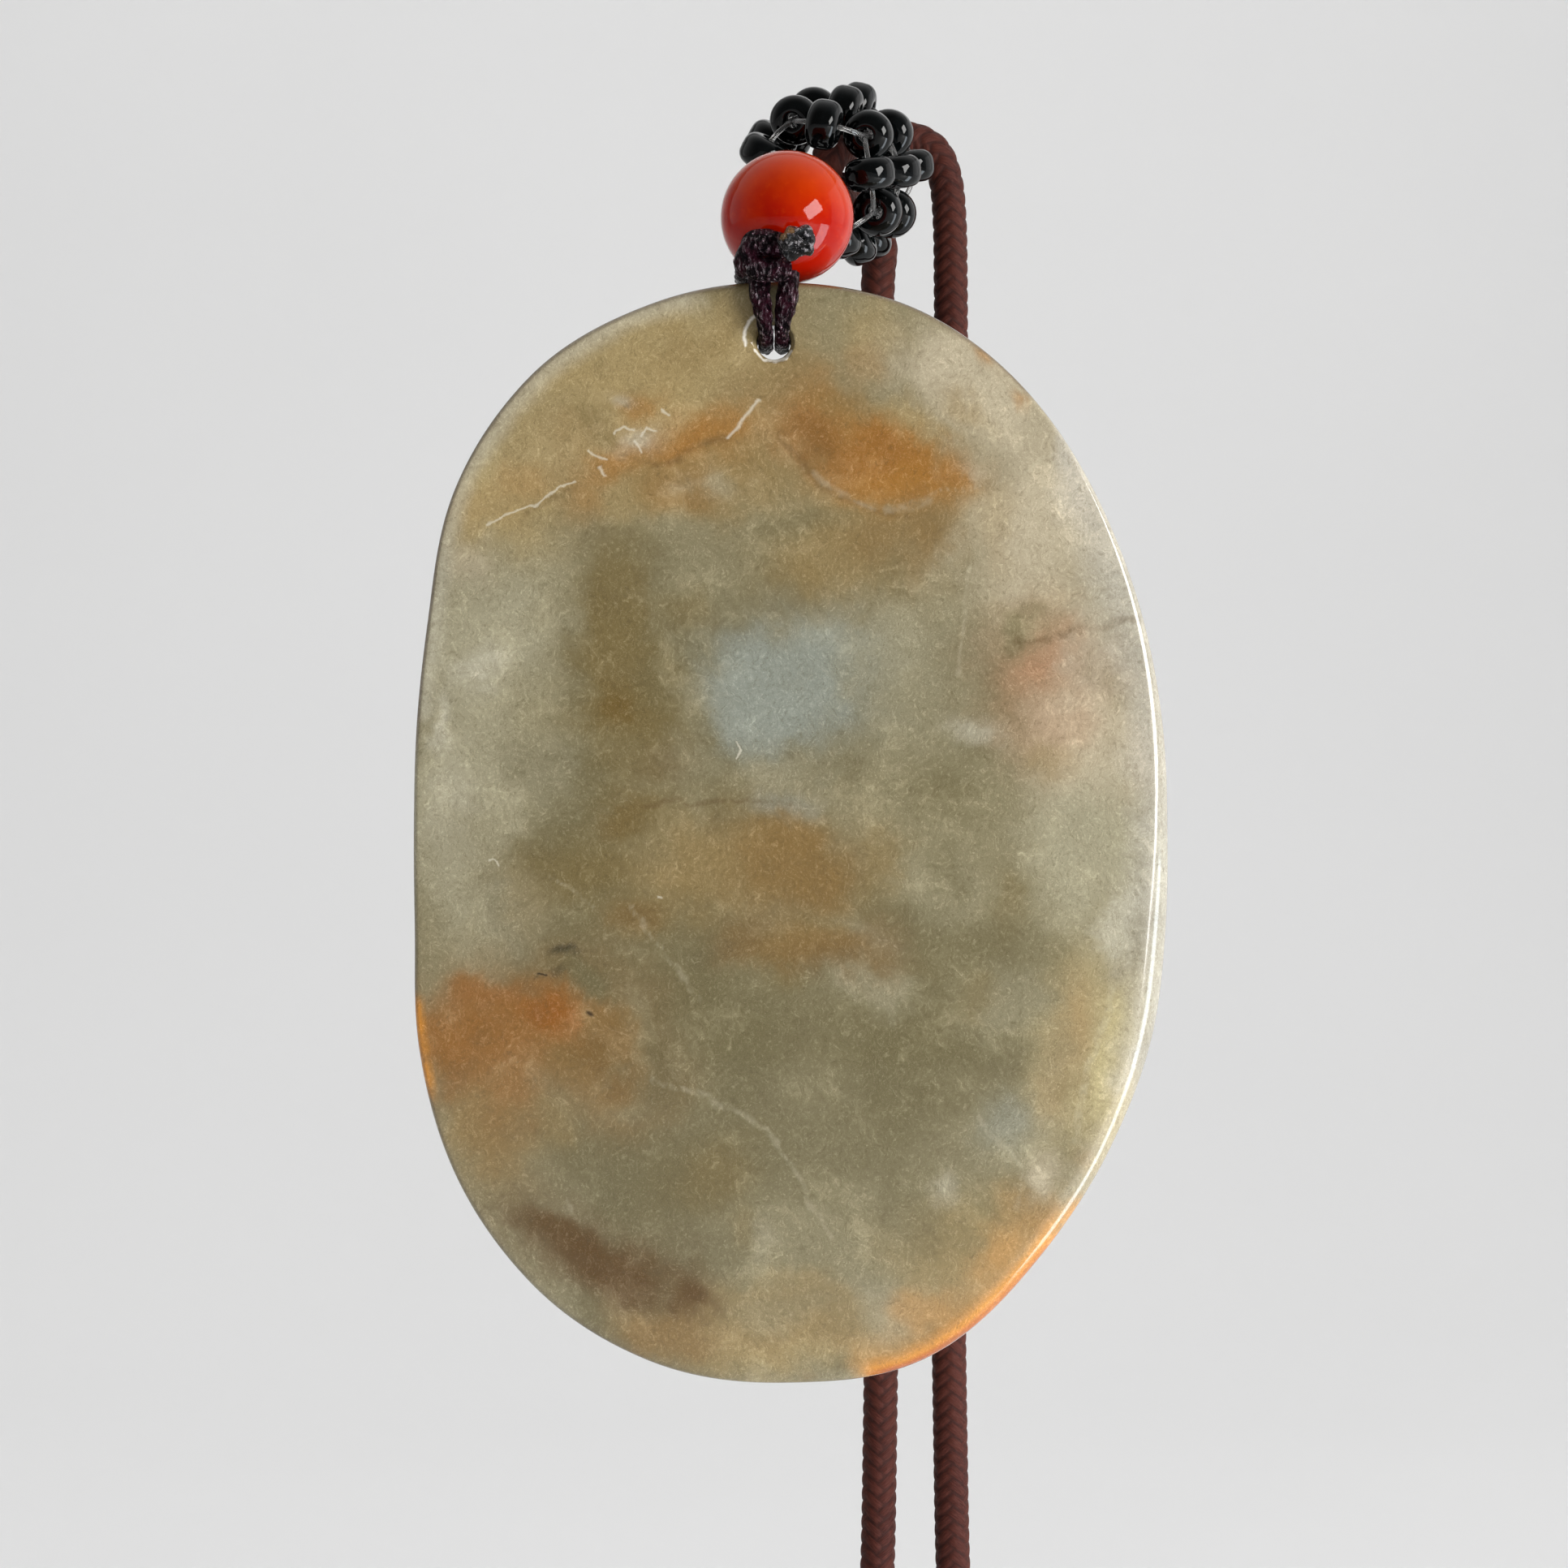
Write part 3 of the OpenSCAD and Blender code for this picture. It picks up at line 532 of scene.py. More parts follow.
# Washes and stains of the stone, each over those before it. Columns: tint, right and up
# from the plaque's middle, half width, half height and strength; then, where they aren't
# STAIN_USUAL, its turn in degrees and the share of it that is solid
STAIN_USUAL = (0, 0.2)
STAINS = [
    # broad washes
    ("khaki", -9, 25.5, 11, 8, 0.95), ("khaki", -16.4, 19, 5.5, 5.5, 0.8),
    ("pale", -17, 10.5, 5.4, 6.5, 0.9), ("pale", -18, 1.5, 4.4, 8.5, 0.9, 0, 0.3),
    ("olive", -9.2, 9.3, 3.6, 9.4, 0.95, 4, 0.3), ("olive", -11.5, -1.4, 6, 3.4, 0.85, 0, 0.1),
    ("sage", -4.4, 15.2, 5.5, 4.2, 0.85), ("tan", 3.2, 15, 5.2, 4, 0.8),
    ("pale", 6.2, 10.4, 4.4, 3.6, 0.5), ("pale", 8.3, 6.2, 5, 4.4, 0.25),
    ("cream", 14.5, 17.8, 6.4, 9, 0.86, -15, 0.3), ("cream", 17.4, 4, 4.6, 7, 0.95, 0, 0.3),
    ("pale", 16.6, -2, 5, 5.4, 0.95), ("sage", 9.5, -1.6, 4.6, 4.4, 0.75),
    ("brown", -0.8, -2.8, 5.6, 4.8, 0.95, 0, 0.3), ("tan", -5.8, -2, 4.4, 4.4, 0.8),
    ("grey_green", -3.5, -12.4, 8.5, 6.4, 0.95), ("grey_green", 6, -12, 6, 5.2, 0.85),
    ("grey_green", -4.4, -19, 8, 5.6, 0.95), ("grey_green", 3, -18.2, 5, 4.4, 0.6),
    ("sage", 9.4, -17.4, 4.8, 5.4, 0.85), ("gold", 16.8, -12.4, 4.6, 8, 0.8, -8, 0.3),
    ("grey_green", -10.9, -17.7, 4.4, 4.4, 0.7), ("tan", -16.4, -17, 4, 5.4, 0.85, 20, 0.2),
    ("sage", -1, -24, 6, 3.6, 0.5), ("sage", 4.2, -23.8, 5.6, 4.2, 0.85),
    ("khaki", 9.6, -23, 5, 4, 0.6, 30, 0.2), ("khaki", 0, -28.6, 7.5, 3.2, 0.9, 0, 0.3),
    ("pale", 4.6, -27.4, 3.6, 2.4, 0.85, 20, 0.2), ("sage", 4.5, 27.9, 5, 3.4, 0.8),
    ("khaki", 4.5, 27.9, 3.4, 2.4, 0.6), ("cream", 10, 25, 6, 4.6, 0.85, -20, 0.3),
    # upper left
    ("sage", -11.9, 23.9, 2.8, 2.2, 0.15), ("straw", -16.2, 19.2, 2.8, 2.4, 0.3, 12, 0.2),
    ("tan", -5, 19.8, 6, 3.6, 0.9, 0, 0.3), ("tan", -6.4, 18.8, 3, 2.2, 0.7, 0, 0.3),
    ("ochre", -6.2, 18.9, 2.6, 1.8, 0.45), ("ochre", -6, 22.2, 6.8, 2.2, 0.72, 4, 0.1),
    ("ochre", -4.8, 22.3, 3.4, 1.2, 0.5, 16, 0.1), ("ochre", -8.6, 24.7, 1.8, 1.2, 0.6),
    ("khaki", -9.8, 18.5, 3.6, 2.3, 0.6), ("cotton", -8.6, 22.4, 2.2, 1.2, 0.62, 10, 0.1),
    ("cotton", -9.6, 24.9, 1, 0.7, 0.5, 0, 0.1), ("olive", -7.9, 8.6, 0.9, 5.6, 0.85, -2, 0.1),
    ("moss", -9.5, 6.9, 1.3, 1.8, 0.75), ("olive", -5.3, 11.9, 2.2, 1.6, 0.6),
    ("cotton", -17.4, 8.5, 1.8, 1.6, 0.6, 0, 0.1), ("cotton", -19.3, 6.2, 0.9, 2, 0.6, 0, 0.1),
    ("cotton", -18.4, 1.9, 1.3, 3.8, 0.35, 0, 0.1),
    ("blue_grey", -15, -3.6, 2.2, 3.2, 0.25, 0, 0.1),
    # the blue-grey window in the middle: a painted reflection of a window on the polished face
    ("blue_grey", 0.4, 7.7, 6.6, 5.2, 0.9, 0, 0.35),
    ("blue_grey", -1.4, 7, 3.8, 4, 0.7, 0, 0.5),
    # the brown leaf and what lies round it
    ("ochre", 1.4, 22.8, 2.6, 3.8, 0.8, 40, 0.2), ("brown", 2, 23.4, 2.2, 2, 0.75),
    ("tan", 4, 20, 7.4, 4.2, 0.9, -14, 0.2), ("ochre", 5.2, 20.5, 5.6, 2.4, 0.95, -12, 0.3),
    ("rust", 5, 20.9, 3, 1.3, 0.7, -10, 0.2), ("ochre", 7.9, 19.9, 2.4, 1.5, 0.7, 0, 0.1),
    ("brown", 6.6, 16.4, 3.8, 2.8, 0.65), ("ochre", 10.4, 26.2, 1, 0.5, 0.6, -30, 0.2),
    ("ochre", 12.8, 24.5, 0.9, 0.5, 0.6, -45, 0.2), ("blush", 14.9, 9.4, 4.6, 3.6, 0.92, 0, 0),
    ("blush", 12.9, 5.2, 2.6, 3.4, 0.22, 0, 0), ("blush", 14.7, 4.4, 3, 2.8, 0.25, 0, 0),
    # middle
    ("olive", 1.3, -6.4, 2, 1.6, 0.6), ("olive", 0.3, -8.6, 1.8, 1.4, 0.5),
    ("olive", -8.4, 1.2, 2.8, 1.6, 0.6), ("pale", 7.8, -3.4, 2.4, 2.2, 0.25, 0, 0.3),
    ("olive", 11.6, -3.9, 1.5, 2, 0.45), ("olive", 9.9, -8.8, 2, 1.5, 0.5),
    ("pale", 4.6, -8.4, 2.2, 1.6, 0.6), ("blue_grey", 4.4, -6.2, 2, 1.4, 0.4),
    ("pale", 12.3, -9.4, 3.4, 3.2, 0.42), ("pale", 13.3, -16.6, 3, 3, 0.5),
    # lower right
    ("ochre", 15.6, -12, 1.8, 5, 0.3, -8, 0.2), ("straw", 18.9, -13, 1.9, 6, 0.65, -10, 0.3),
    ("blue_grey", 11.8, -15.8, 2.4, 2.4, 0.4), ("straw", 11.8, -21.6, 2.4, 2, 0.35),
    ("cotton", 8.5, -20, 1.2, 1.6, 0.5, 0, 0.1),
    ("cotton", -0.9, -23.5, 1.1, 1.6, 0.15, 0, 0.1),
    # lower left
    ("rust", -15.4, -11.2, 8, 5.8, 0.92, -8, 0.2), ("rust", -19.2, -11.4, 3.2, 3.4, 0.85),
    ("brown", -10.4, -12.9, 4.2, 3.2, 0.98, -30, 0.4),
    ("rust_deep", -13.9, -10.2, 2.8, 1.2, 0.5, -35, 0.1),
    ("soot", -12.4, -6.9, 1, 0.5, 0.85, -20, 0.2), ("soot", -13.2, -8.1, 0.6, 0.45, 0.75),
    ("soot", -14.1, -8, 0.45, 0.25, 0.5), ("rust_deep", -17.5, -8.6, 3, 1.2, 0.4, 0, 0.1),
    ("brown", -15, -15.2, 2.2, 1.4, 0.7), ("brown", -16, -17.8, 2.8, 2.6, 0.6),
    ("umber", -12.2, -23.4, 7, 3, 0.92, -18, 0.2),
    ("umber", -9.2, -24.8, 5, 2.3, 0.92, -10, 0.2), ("umber", -4.8, -25.4, 2.6, 1.1, 0.5),
    ("brown", -6.4, -28, 4.4, 2, 0.9, -8, 0.3), ("tan", 0.2, -27.8, 5, 2.4, 0.95, 0, 0.4),
    ("ochre", 12.4, -21.2, 2.4, 2.2, 0.4, 40, 0.2),
    # last touches, over all that lies below
    ("umber", -10.6, -12.7, 2.4, 2, 0.3, -20, 0.2), ("brown", -6.2, 18.9, 2.8, 2, 0.65),
    ("olive", -4.4, -19.2, 4, 3.4, 0.7), ("grey_green", -3.2, -24.2, 2.8, 2.2, 0.5),
    ("tan", 8.3, -23.4, 3, 2.4, 0.35), ("blush", 16.1, 5.8, 2.6, 2, 0.3),
    ("grey_green", 7.9, 1.4, 3, 2.6, 0.7), ("tan", -12.5, -17, 2.2, 2, 0.5),
    ("sage", -17.5, 1.2, 2, 2.4, 0.4), ("ochre", -16.4, 18.8, 2.8, 2, 0.22, 10, 0.2),
    ("brown", -1.5, 25.4, 3, 2.4, 0.5), ("rust", 1.8, 20.9, 2.8, 2, 0.6, -30, 0.2),
    ("rust", -0.4, 22.4, 1.6, 1.6, 0.45), ("ochre", 5.8, 18.8, 4.4, 1.5, 0.75, -8, 0.2),
    ("brown", 8.2, 15.4, 1.8, 3, 0.65), ("khaki", 6.2, 22.6, 3, 1, 0.55, -18, 0.2),
    ("tan", 9.6, 23.5, 2, 1.1, 0.55, -30, 0.2), ("cream", 9.6, 20.2, 1.6, 0.9, 0.45),
    ("tan", 11.6, 16.6, 1.6, 3.4, 0.35), ("sage", 13.4, 10.8, 1.9, 1.7, 0.85),
    ("olive", 13.4, 11, 1.2, 1, 0.3, 0, 0.1), ("tan", 14.9, 3.5, 1.8, 2, 0.55),
    ("pale", -4.6, 19.2, 2.2, 1.2, 0.55), ("grey_green", 0.4, 17.1, 3.2, 1.5, 0.55),
    ("ochre", -11.8, 18.9, 2, 2.6, 0.42), ("olive", -10.8, 22.9, 1.2, 1.8, 0.5),
    ("grey_green", -7.4, 8.6, 1.6, 4.2, 0.45), ("umber", -7, 3.9, 1.9, 1.4, 0.3, 0, 0.1),
    ("moss", -9.6, 1.4, 2, 1.4, 0.55, 0, 0.1), ("tan", -9.2, -4.8, 2.6, 1.7, 0.75),
    ("khaki", -14.8, -3.4, 1.8, 2.8, 0.35), ("brown", 1.2, -7.1, 5.2, 1.7, 0.8, 4, 0.3),
    ("umber", 3.2, -8.1, 2.6, 1.1, 0.38, 8, 0.1), ("tan", 4.6, -2.2, 1.6, 2.6, 0.5),
    ("grey_green", -11.9, -8, 3, 1, 0.8, -22, 0.2), ("sage", -9, -11.2, 1.4, 3.2, 0.6, 14, 0.2),
    ("sage", -9.2, -14.7, 2, 1.2, 0.6), ("rust_deep", -13.2, -11.2, 2.2, 1, 0.45, -35, 0.2),
    ("rust", -14.6, -15.3, 2.2, 2.6, 0.55), ("rust", -18, -14.4, 2.2, 1.8, 0.5),
    ("sage", -11.8, -21.9, 3.4, 0.9, 0.5, -18, 0.2), ("olive", -2, -22.6, 1.3, 1.7, 0.5),
    ("umber", -4.8, -26.4, 1.8, 1.1, 0.8), ("sage", 0, -27.4, 4.6, 1.8, 0.55),
    ("gold_brown", 7.2, -26.6, 2.8, 1.5, 0.55, 30, 0.2),
    ("gold_brown", 11.6, -23.4, 2.6, 1.5, 0.6, 42, 0.2),
    ("grey_green", 3, -21, 3.2, 1.2, 0.45, -30, 0.2),
    ("grey_green", 7.6, -22.5, 2.4, 1.8, 0.45), ("grey_green", 9, -20, 1.3, 1.2, 0.45),
    ("sage", 15.2, -12.8, 1.6, 2.6, 0.5), ("olive", 16.2, -14.2, 1.3, 1.2, 0.4),
    ("grey_green", 10.8, -21, 1.5, 1.3, 0.5), ("cotton", 17.2, 11, 2, 4.8, 0.4),
    # the first patch below, cotton at 18.9, -5.6, is a painted highlight of the right bevel's
    # reflection
    ("cotton", 18.9, -5.6, 1.4, 3.4, 0.72), ("ochre", -14.8, 20.2, 1.8, 1.4, 0.3),
    ("pale", -13.4, 3.2, 2.2, 2, 0.4), ("pale", -0.6, 2.6, 3, 1.2, 0.4),
    ("blue_grey", -0.4, 0.9, 2.8, 1.2, 0.45), ("grey_green", 8, -2.6, 1.3, 1.8, 0.55),
    # the first patch below, cream at 14.3, -19.4, is a painted highlight of the lower right
    # bevel's reflection
    ("cream", 14.3, -19.4, 1.6, 1.7, 0.75), ("cotton", 10.8, 5.2, 2.2, 1.8, 0.35),
    ("grey_green", 13, 10.2, 1.6, 1.3, 0.6), ("cream", -18.6, 15.2, 1.5, 2.4, 0.5),
    ("tan", -6, 27, 2.8, 1.4, 0.45), ("ochre", 4, 26, 2, 1.6, 0.28),
    ("grey_green", -11.6, -8.9, 2.4, 1.2, 0.85, -30, 0.2),
    ("grey_green", -7.9, -12.8, 2, 2.8, 0.75), ("umber", -4.5, -26.6, 1.7, 1.1, 0.75),
    ("umber", 1.5, -8.1, 2.4, 1.1, 0.24), ("brown", 4.8, -5.8, 1.8, 1.5, 0.45),
    ("umber", -2.8, -6.6, 2.2, 1.3, 0.42), ("brown", -2.8, -6.6, 2.2, 1.4, 0.35),
    ("rust", 0.4, 21.8, 1.8, 1.7, 0.55), ("ochre", -10, 20.9, 2, 1.5, 0.6),
    ("umber", -9.2, -4.9, 2.2, 1.5, 0.42), ("rust", -18, -8.2, 2.4, 1, 0.5),
    ("brown", 2.6, -7.4, 3.4, 1.6, 0.45), ("umber", 3, -7.2, 3, 1.3, 0.2),
    ("umber", 0.6, 21.6, 1.5, 1.4, 0.22), ("umber", -4.4, -26.8, 1.5, 1, 0.4),
    ("umber", -7.8, -12.4, 1.6, 2.2, 0.16), ("grey_green", -11.6, -8.9, 1.6, 1, 0.6, -30, 0.2),
    ("olive", 17.6, 16.4, 1.6, 2, 0.3), ("umber", 13.2, 10.1, 1.5, 0.9, 0.26),
    ("cotton", 10.9, 5, 2, 1.6, 0.22), ("gold", -16.4, 21.2, 1.6, 1.6, 0.35),
]

# Tints that lie along the rim. Columns: tint, first and last angle from the right,
# reach in from the edge, strength. The milk row on the right and the cream row at the
# lower right are a painted highlight of the bevel's reflection, the cotton row up left
# is a painted pale highlight along that edge, and the umber row is a painted dark line
# of shade along the upper edge
RIM_TINTS = [
    ("cotton", 98, 168, 1.60, 0.55), ("milk", -44, 58, 3.20, 0.52),
    ("cream", -56, -36, 2.20, 0.50), ("umber", 60, 170, 0.32, 0.65),
    ("gold_brown", -88, -48, 3.00, 0.60), ("amber", -84, -51, 1.30, 0.90),
    ("amber_deep", -83, -53, 0.55, 1.00), ("amber", 199, 216, 0.80, 0.90),
]
# Degrees over which they begin and end, and by which their ends waver
RIM_FADE = 6
RIM_WAVER = 16
# How far the rim's tints fade over the side, and how the stains lean, per mm of depth
RIM_DEPTH = 0.45
STAIN_LEAN = (0.30, -0.45)
# How far the stains are pushed about at least, how much further for each millimetre of
# their half sizes, how far they are torn, and how steeply they fade
STAIN_PUSH, STAIN_PUSH_SIZE, STAIN_TEAR, STAIN_FALL = 3.0, 0.25, 1.9, 2.2
CRACK_WAVER = 0.9

# Soft cracks and veins: kind, width, then their points from the plaque's middle
CRACKS = [
    ("dark", 0.30, (-12.2, 19.4), (-13.7, 18.5), (-14.8, 17.9)),
    ("dark", 0.40, (-7.7, 20.6), (-6.3, 21.1), (-4.9, 21.9), (-3.6, 22.3)),
    ("dark", 0.36, (-0.8, 22.3), (0.7, 20.4), (2.1, 19.1), (3.8, 18.3), (6.6, 17.8)),
    ("pale", 0.30, (1.2, 20.1), (2.1, 19.4), (3.7, 18.5), (5.2, 18.1), (6.6, 18.2), (8.9, 19.2)),
    ("pale", 0.22, (8.9, 19.2), (11.0, 19.5), (13.0, 20.2), (14.6, 21.3)),
    ("dark", 0.50, (12.6, 10.8), (14.3, 10.8), (15.9, 11.3)),
    ("dark", 0.30, (15.9, 11.3), (17.6, 11.7), (19.5, 12.1)),
    ("dark", 0.22, (-8.4, 1.5), (-6.6, 1.9), (-5.2, 1.6), (-3.3, 1.8), (0.2, 1.7)),
    ("pale", 0.24, (-9.1, -4.1), (-8.2, -5.4), (-7.5, -6.2), (-6.2, -7.8), (-5.1, -9.5)),
    ("pale", 0.20, (-13.5, -2.5), (-12.3, -3.3), (-11.1, -4.2)),
    ("pale", 0.26, (-7.8, -13.9), (-5.4, -14.7), (-3.1, -15.6), (-1.6, -16.4), (-0.7, -17.6)),
    ("pale", 0.24, (-0.7, -17.6), (0.4, -19.4), (1.3, -21.1), (2.3, -22.8)),
    ("pale", 0.34, (17.8, -8.5), (17.6, -10.6), (17.2, -12.0), (16.5, -14.1), (16.0, -16.2),
     (15.9, -17.4)),
    ("pale", 0.24, (10.5, -16.0), (11.8, -17.5), (12.9, -18.7), (12.7, -21.2)),
    ("dark", 0.50, (-16.0, -21.9), (-13.8, -22.9), (-11.4, -24.0), (-9.5, -24.7)),
    ("pale", 0.20, (10.0, 15.0), (9.5, 12.0), (9.3, 8.8)),
    ("pale", 0.24, (-12.5, -20.6), (-12.1, -20.9), (-12.3, -21.3), (-12.7, -21.0), (-12.5, -20.6)),
]
CRACK_LOOKS = {"dark": ("#5a4426", 0.40), "pale": ("#c9c0a5", 0.22)}

# Crisp marks of the front: kind, width, then their points from the plaque's middle.
# The bright marks round the hole are painted highlights, and the glint marks are pale
# scratches and chips with a painted glint on them
MARKS = [
    ("glint", 0.20, (-3.6, 22.2), (-3.1, 22.6), (-2.5, 23.4), (-1.9, 24.2)),
    ("bright", 0.17, (-1.9, 29.1), (-2.3, 28.8), (-2.6, 28.3), (-2.7, 27.8), (-2.6, 27.3)),
    ("bright", 0.15, (-2.0, 27.0), (-1.6, 26.6), (-1.0, 26.4), (-0.4, 26.6), (0.0, 27.0)),
    ("glint", 0.11, (-12.2, 19.7), (-13.7, 18.9), (-14.4, 18.3), (-16.0, 17.9), (-17.1, 17.2)),
    ("glint", 0.12, (-9.9, 22.3), (-9.4, 22.8), (-8.9, 22.5)),
    ("glint", 0.12, (-8.4, 22.2), (-8.1, 22.7), (-7.7, 22.5)),
    ("glint", 0.12, (-7.3, 23.7), (-6.9, 23.4)),
    ("glint", 0.12, (-8.8, 21.9), (-8.4, 21.3)),
    ("glint", 0.12, (-11.4, 21.4), (-11.0, 21.1), (-10.4, 20.9)),
    ("glint", 0.12, (-10.7, 20.5), (-10.4, 20.0)),
    ("glint", 0.10, (-17.0, -1.5), (-16.6, -1.5), (-16.4, -1.9)),
    ("glint", 0.10, (-3.1, 5.0), (-2.9, 4.6), (-3.1, 4.2)),
    ("glint", 0.14, (-7.5, -3.6), (-7.4, -3.6)),
    ("speck", 0.14, (-14.2, -7.9), (-13.8, -8.0)),
    ("speck", 0.22, (-11.4, -10.1), (-11.3, -10.2)),
]
# the bright and glint colours are painted highlight; the speck colour is the stone's own
MARK_LOOKS = {"bright": ("#fff8ea", 0.9), "glint": ("#e0d8c4", 0.55), "speck": ("#1d150f", 0.85)}
# How much a millimetre behind the front counts as distance from a mark, so that the marks
# end inside the stone
MARK_DEPTH = 0.1

# Fibres and clouds of the stone. Columns for each: where its light part begins and is
# full, how strong it is and its tint, and the same for its dark part
FIBRES = {
    "cotton": ((0.50, 0.72, 0.36, "#bbb49d"), (0.48, 0.30, 0.30, "#6a5e42")),
    "fibre": ((0.52, 0.68, 0.42, "#cbc4ae"), (0.48, 0.34, 0.44, "#5f5439")),
    "grain": ((0.56, 0.70, 0.34, "#d5cfbc"), (0.44, 0.30, 0.30, "#4f4630")),
}
WANDER_TABLE = 64


def wander(x, z, scale, seed, octaves=5, rough=0.55):
    """Smooth random values about 0.5 over the plane, of several sizes added up."""
    table = np.random.default_rng(seed).random((WANDER_TABLE, WANDER_TABLE))
    total, weight = 0, 0
    for octave in range(octaves):
        # each size begins at another place of the table
        u = x * scale * 2**octave + 20 + 7.3 * octave
        v = z * scale * 2**octave + 20 - 3.1 * octave
        i, j = np.floor(u).astype(int), np.floor(v).astype(int)
        f, g = (t * t * (3 - 2 * t) for t in (u - i, v - j))
        (i0, i1), (j0, j1) = ((k % WANDER_TABLE, (k + 1) % WANDER_TABLE) for k in (i, j))
        low = table[i0, j0] * (1 - f) + table[i1, j0] * f
        high = table[i0, j1] * (1 - f) + table[i1, j1] * f
        total = total + rough**octave * (low * (1 - g) + high * g)
        weight += rough**octave
    return total / weight


def ramp(value, lo, hi):
    share = np.clip((value - lo) / (hi - lo), 0, 1)
    return share * share * (3 - 2 * share)


def stone_tints(x, z, depth, gap, angle):
    """Colours of the stone at places from its middle, depth behind its front and gap
    in from its edge. The stains lean as they go into the stone."""
    x, z = x + STAIN_LEAN[0] * depth, z + STAIN_LEAN[1] * depth

    def blend(base, tint, share):
        return base + share[:, None] * (np.array(colour(TINTS[tint])[:3]) - base)

    wide_x, wide_z = wander(x, z, 0.13, 3) - 0.5, wander(x, z, 0.13, 4) - 0.5
    torn_x, torn_z = wander(x, z, 0.6, 5, 5, 0.65) - 0.5, wander(x, z, 0.6, 6, 5, 0.65) - 0.5
    base = blend(np.zeros((len(x), 3)), "sage", np.ones(len(x)))
    base = blend(base, "grey_green", 0.8 * ramp(wander(x + 3 * wide_x, z, 0.14, 8), 0.45, 0.6))
    for tint, at_x, at_z, half_w, half_h, strength, *unusual in STAINS:
        turn, core = unusual or STAIN_USUAL
        push = STAIN_PUSH + STAIN_PUSH_SIZE * (half_w + half_h)
        dx = x + push * wide_x + STAIN_TEAR * torn_x - at_x
        dz = z + push * wide_z + STAIN_TEAR * torn_z - at_z
        across, up = dx * cos(turn) + dz * sin(turn), dz * cos(turn) - dx * sin(turn)
        away = np.hypot(across / half_w, up / half_h)
        faded = np.maximum(away - core, 0) / (1 - core)
        base = blend(base, tint, strength * np.exp(-STAIN_FALL * faded**2))
    for tint, first, last, reach, strength in RIM_TINTS:
        turned = np.mod(angle - first + RIM_WAVER * (wander(x, z, 0.35, 13) - 0.5), 360)
        inside = ramp(turned, 0, RIM_FADE) * ramp(turned, last - first, last - first - RIM_FADE)
        ragged = reach * (0.7 + 0.6 * wander(x, z, 0.5, 9))
        away = gap + RIM_DEPTH * np.maximum(depth - 0.5, 0)
        base = blend(base, tint, strength * inside * ramp(away / ragged, 1, 0.2))
    return base


def crack_gaps(kind, x, z):
    """How many of its widths each place is away from the nearest crack of the kind."""
    x = x + CRACK_WAVER * (wander(x, z, 0.9, 11) - 0.5)
    z = z + CRACK_WAVER * (wander(x, z, 0.9, 12) - 0.5)
    nearest = np.full(len(x), 9.0)
    for crack, width, *points in CRACKS:
        if crack != kind:
            continue
        for (x1, z1), (x2, z2) in zip(points, points[1:]):
            run_x, run_z = x2 - x1, z2 - z1
            part = ((x - x1) * run_x + (z - z1) * run_z) / (run_x**2 + run_z**2)
            part = np.clip(part, 0, 1)
            away = np.hypot(x - x1 - part * run_x, z - z1 - part * run_z)
            nearest = np.minimum(nearest, away / width)
    return nearest


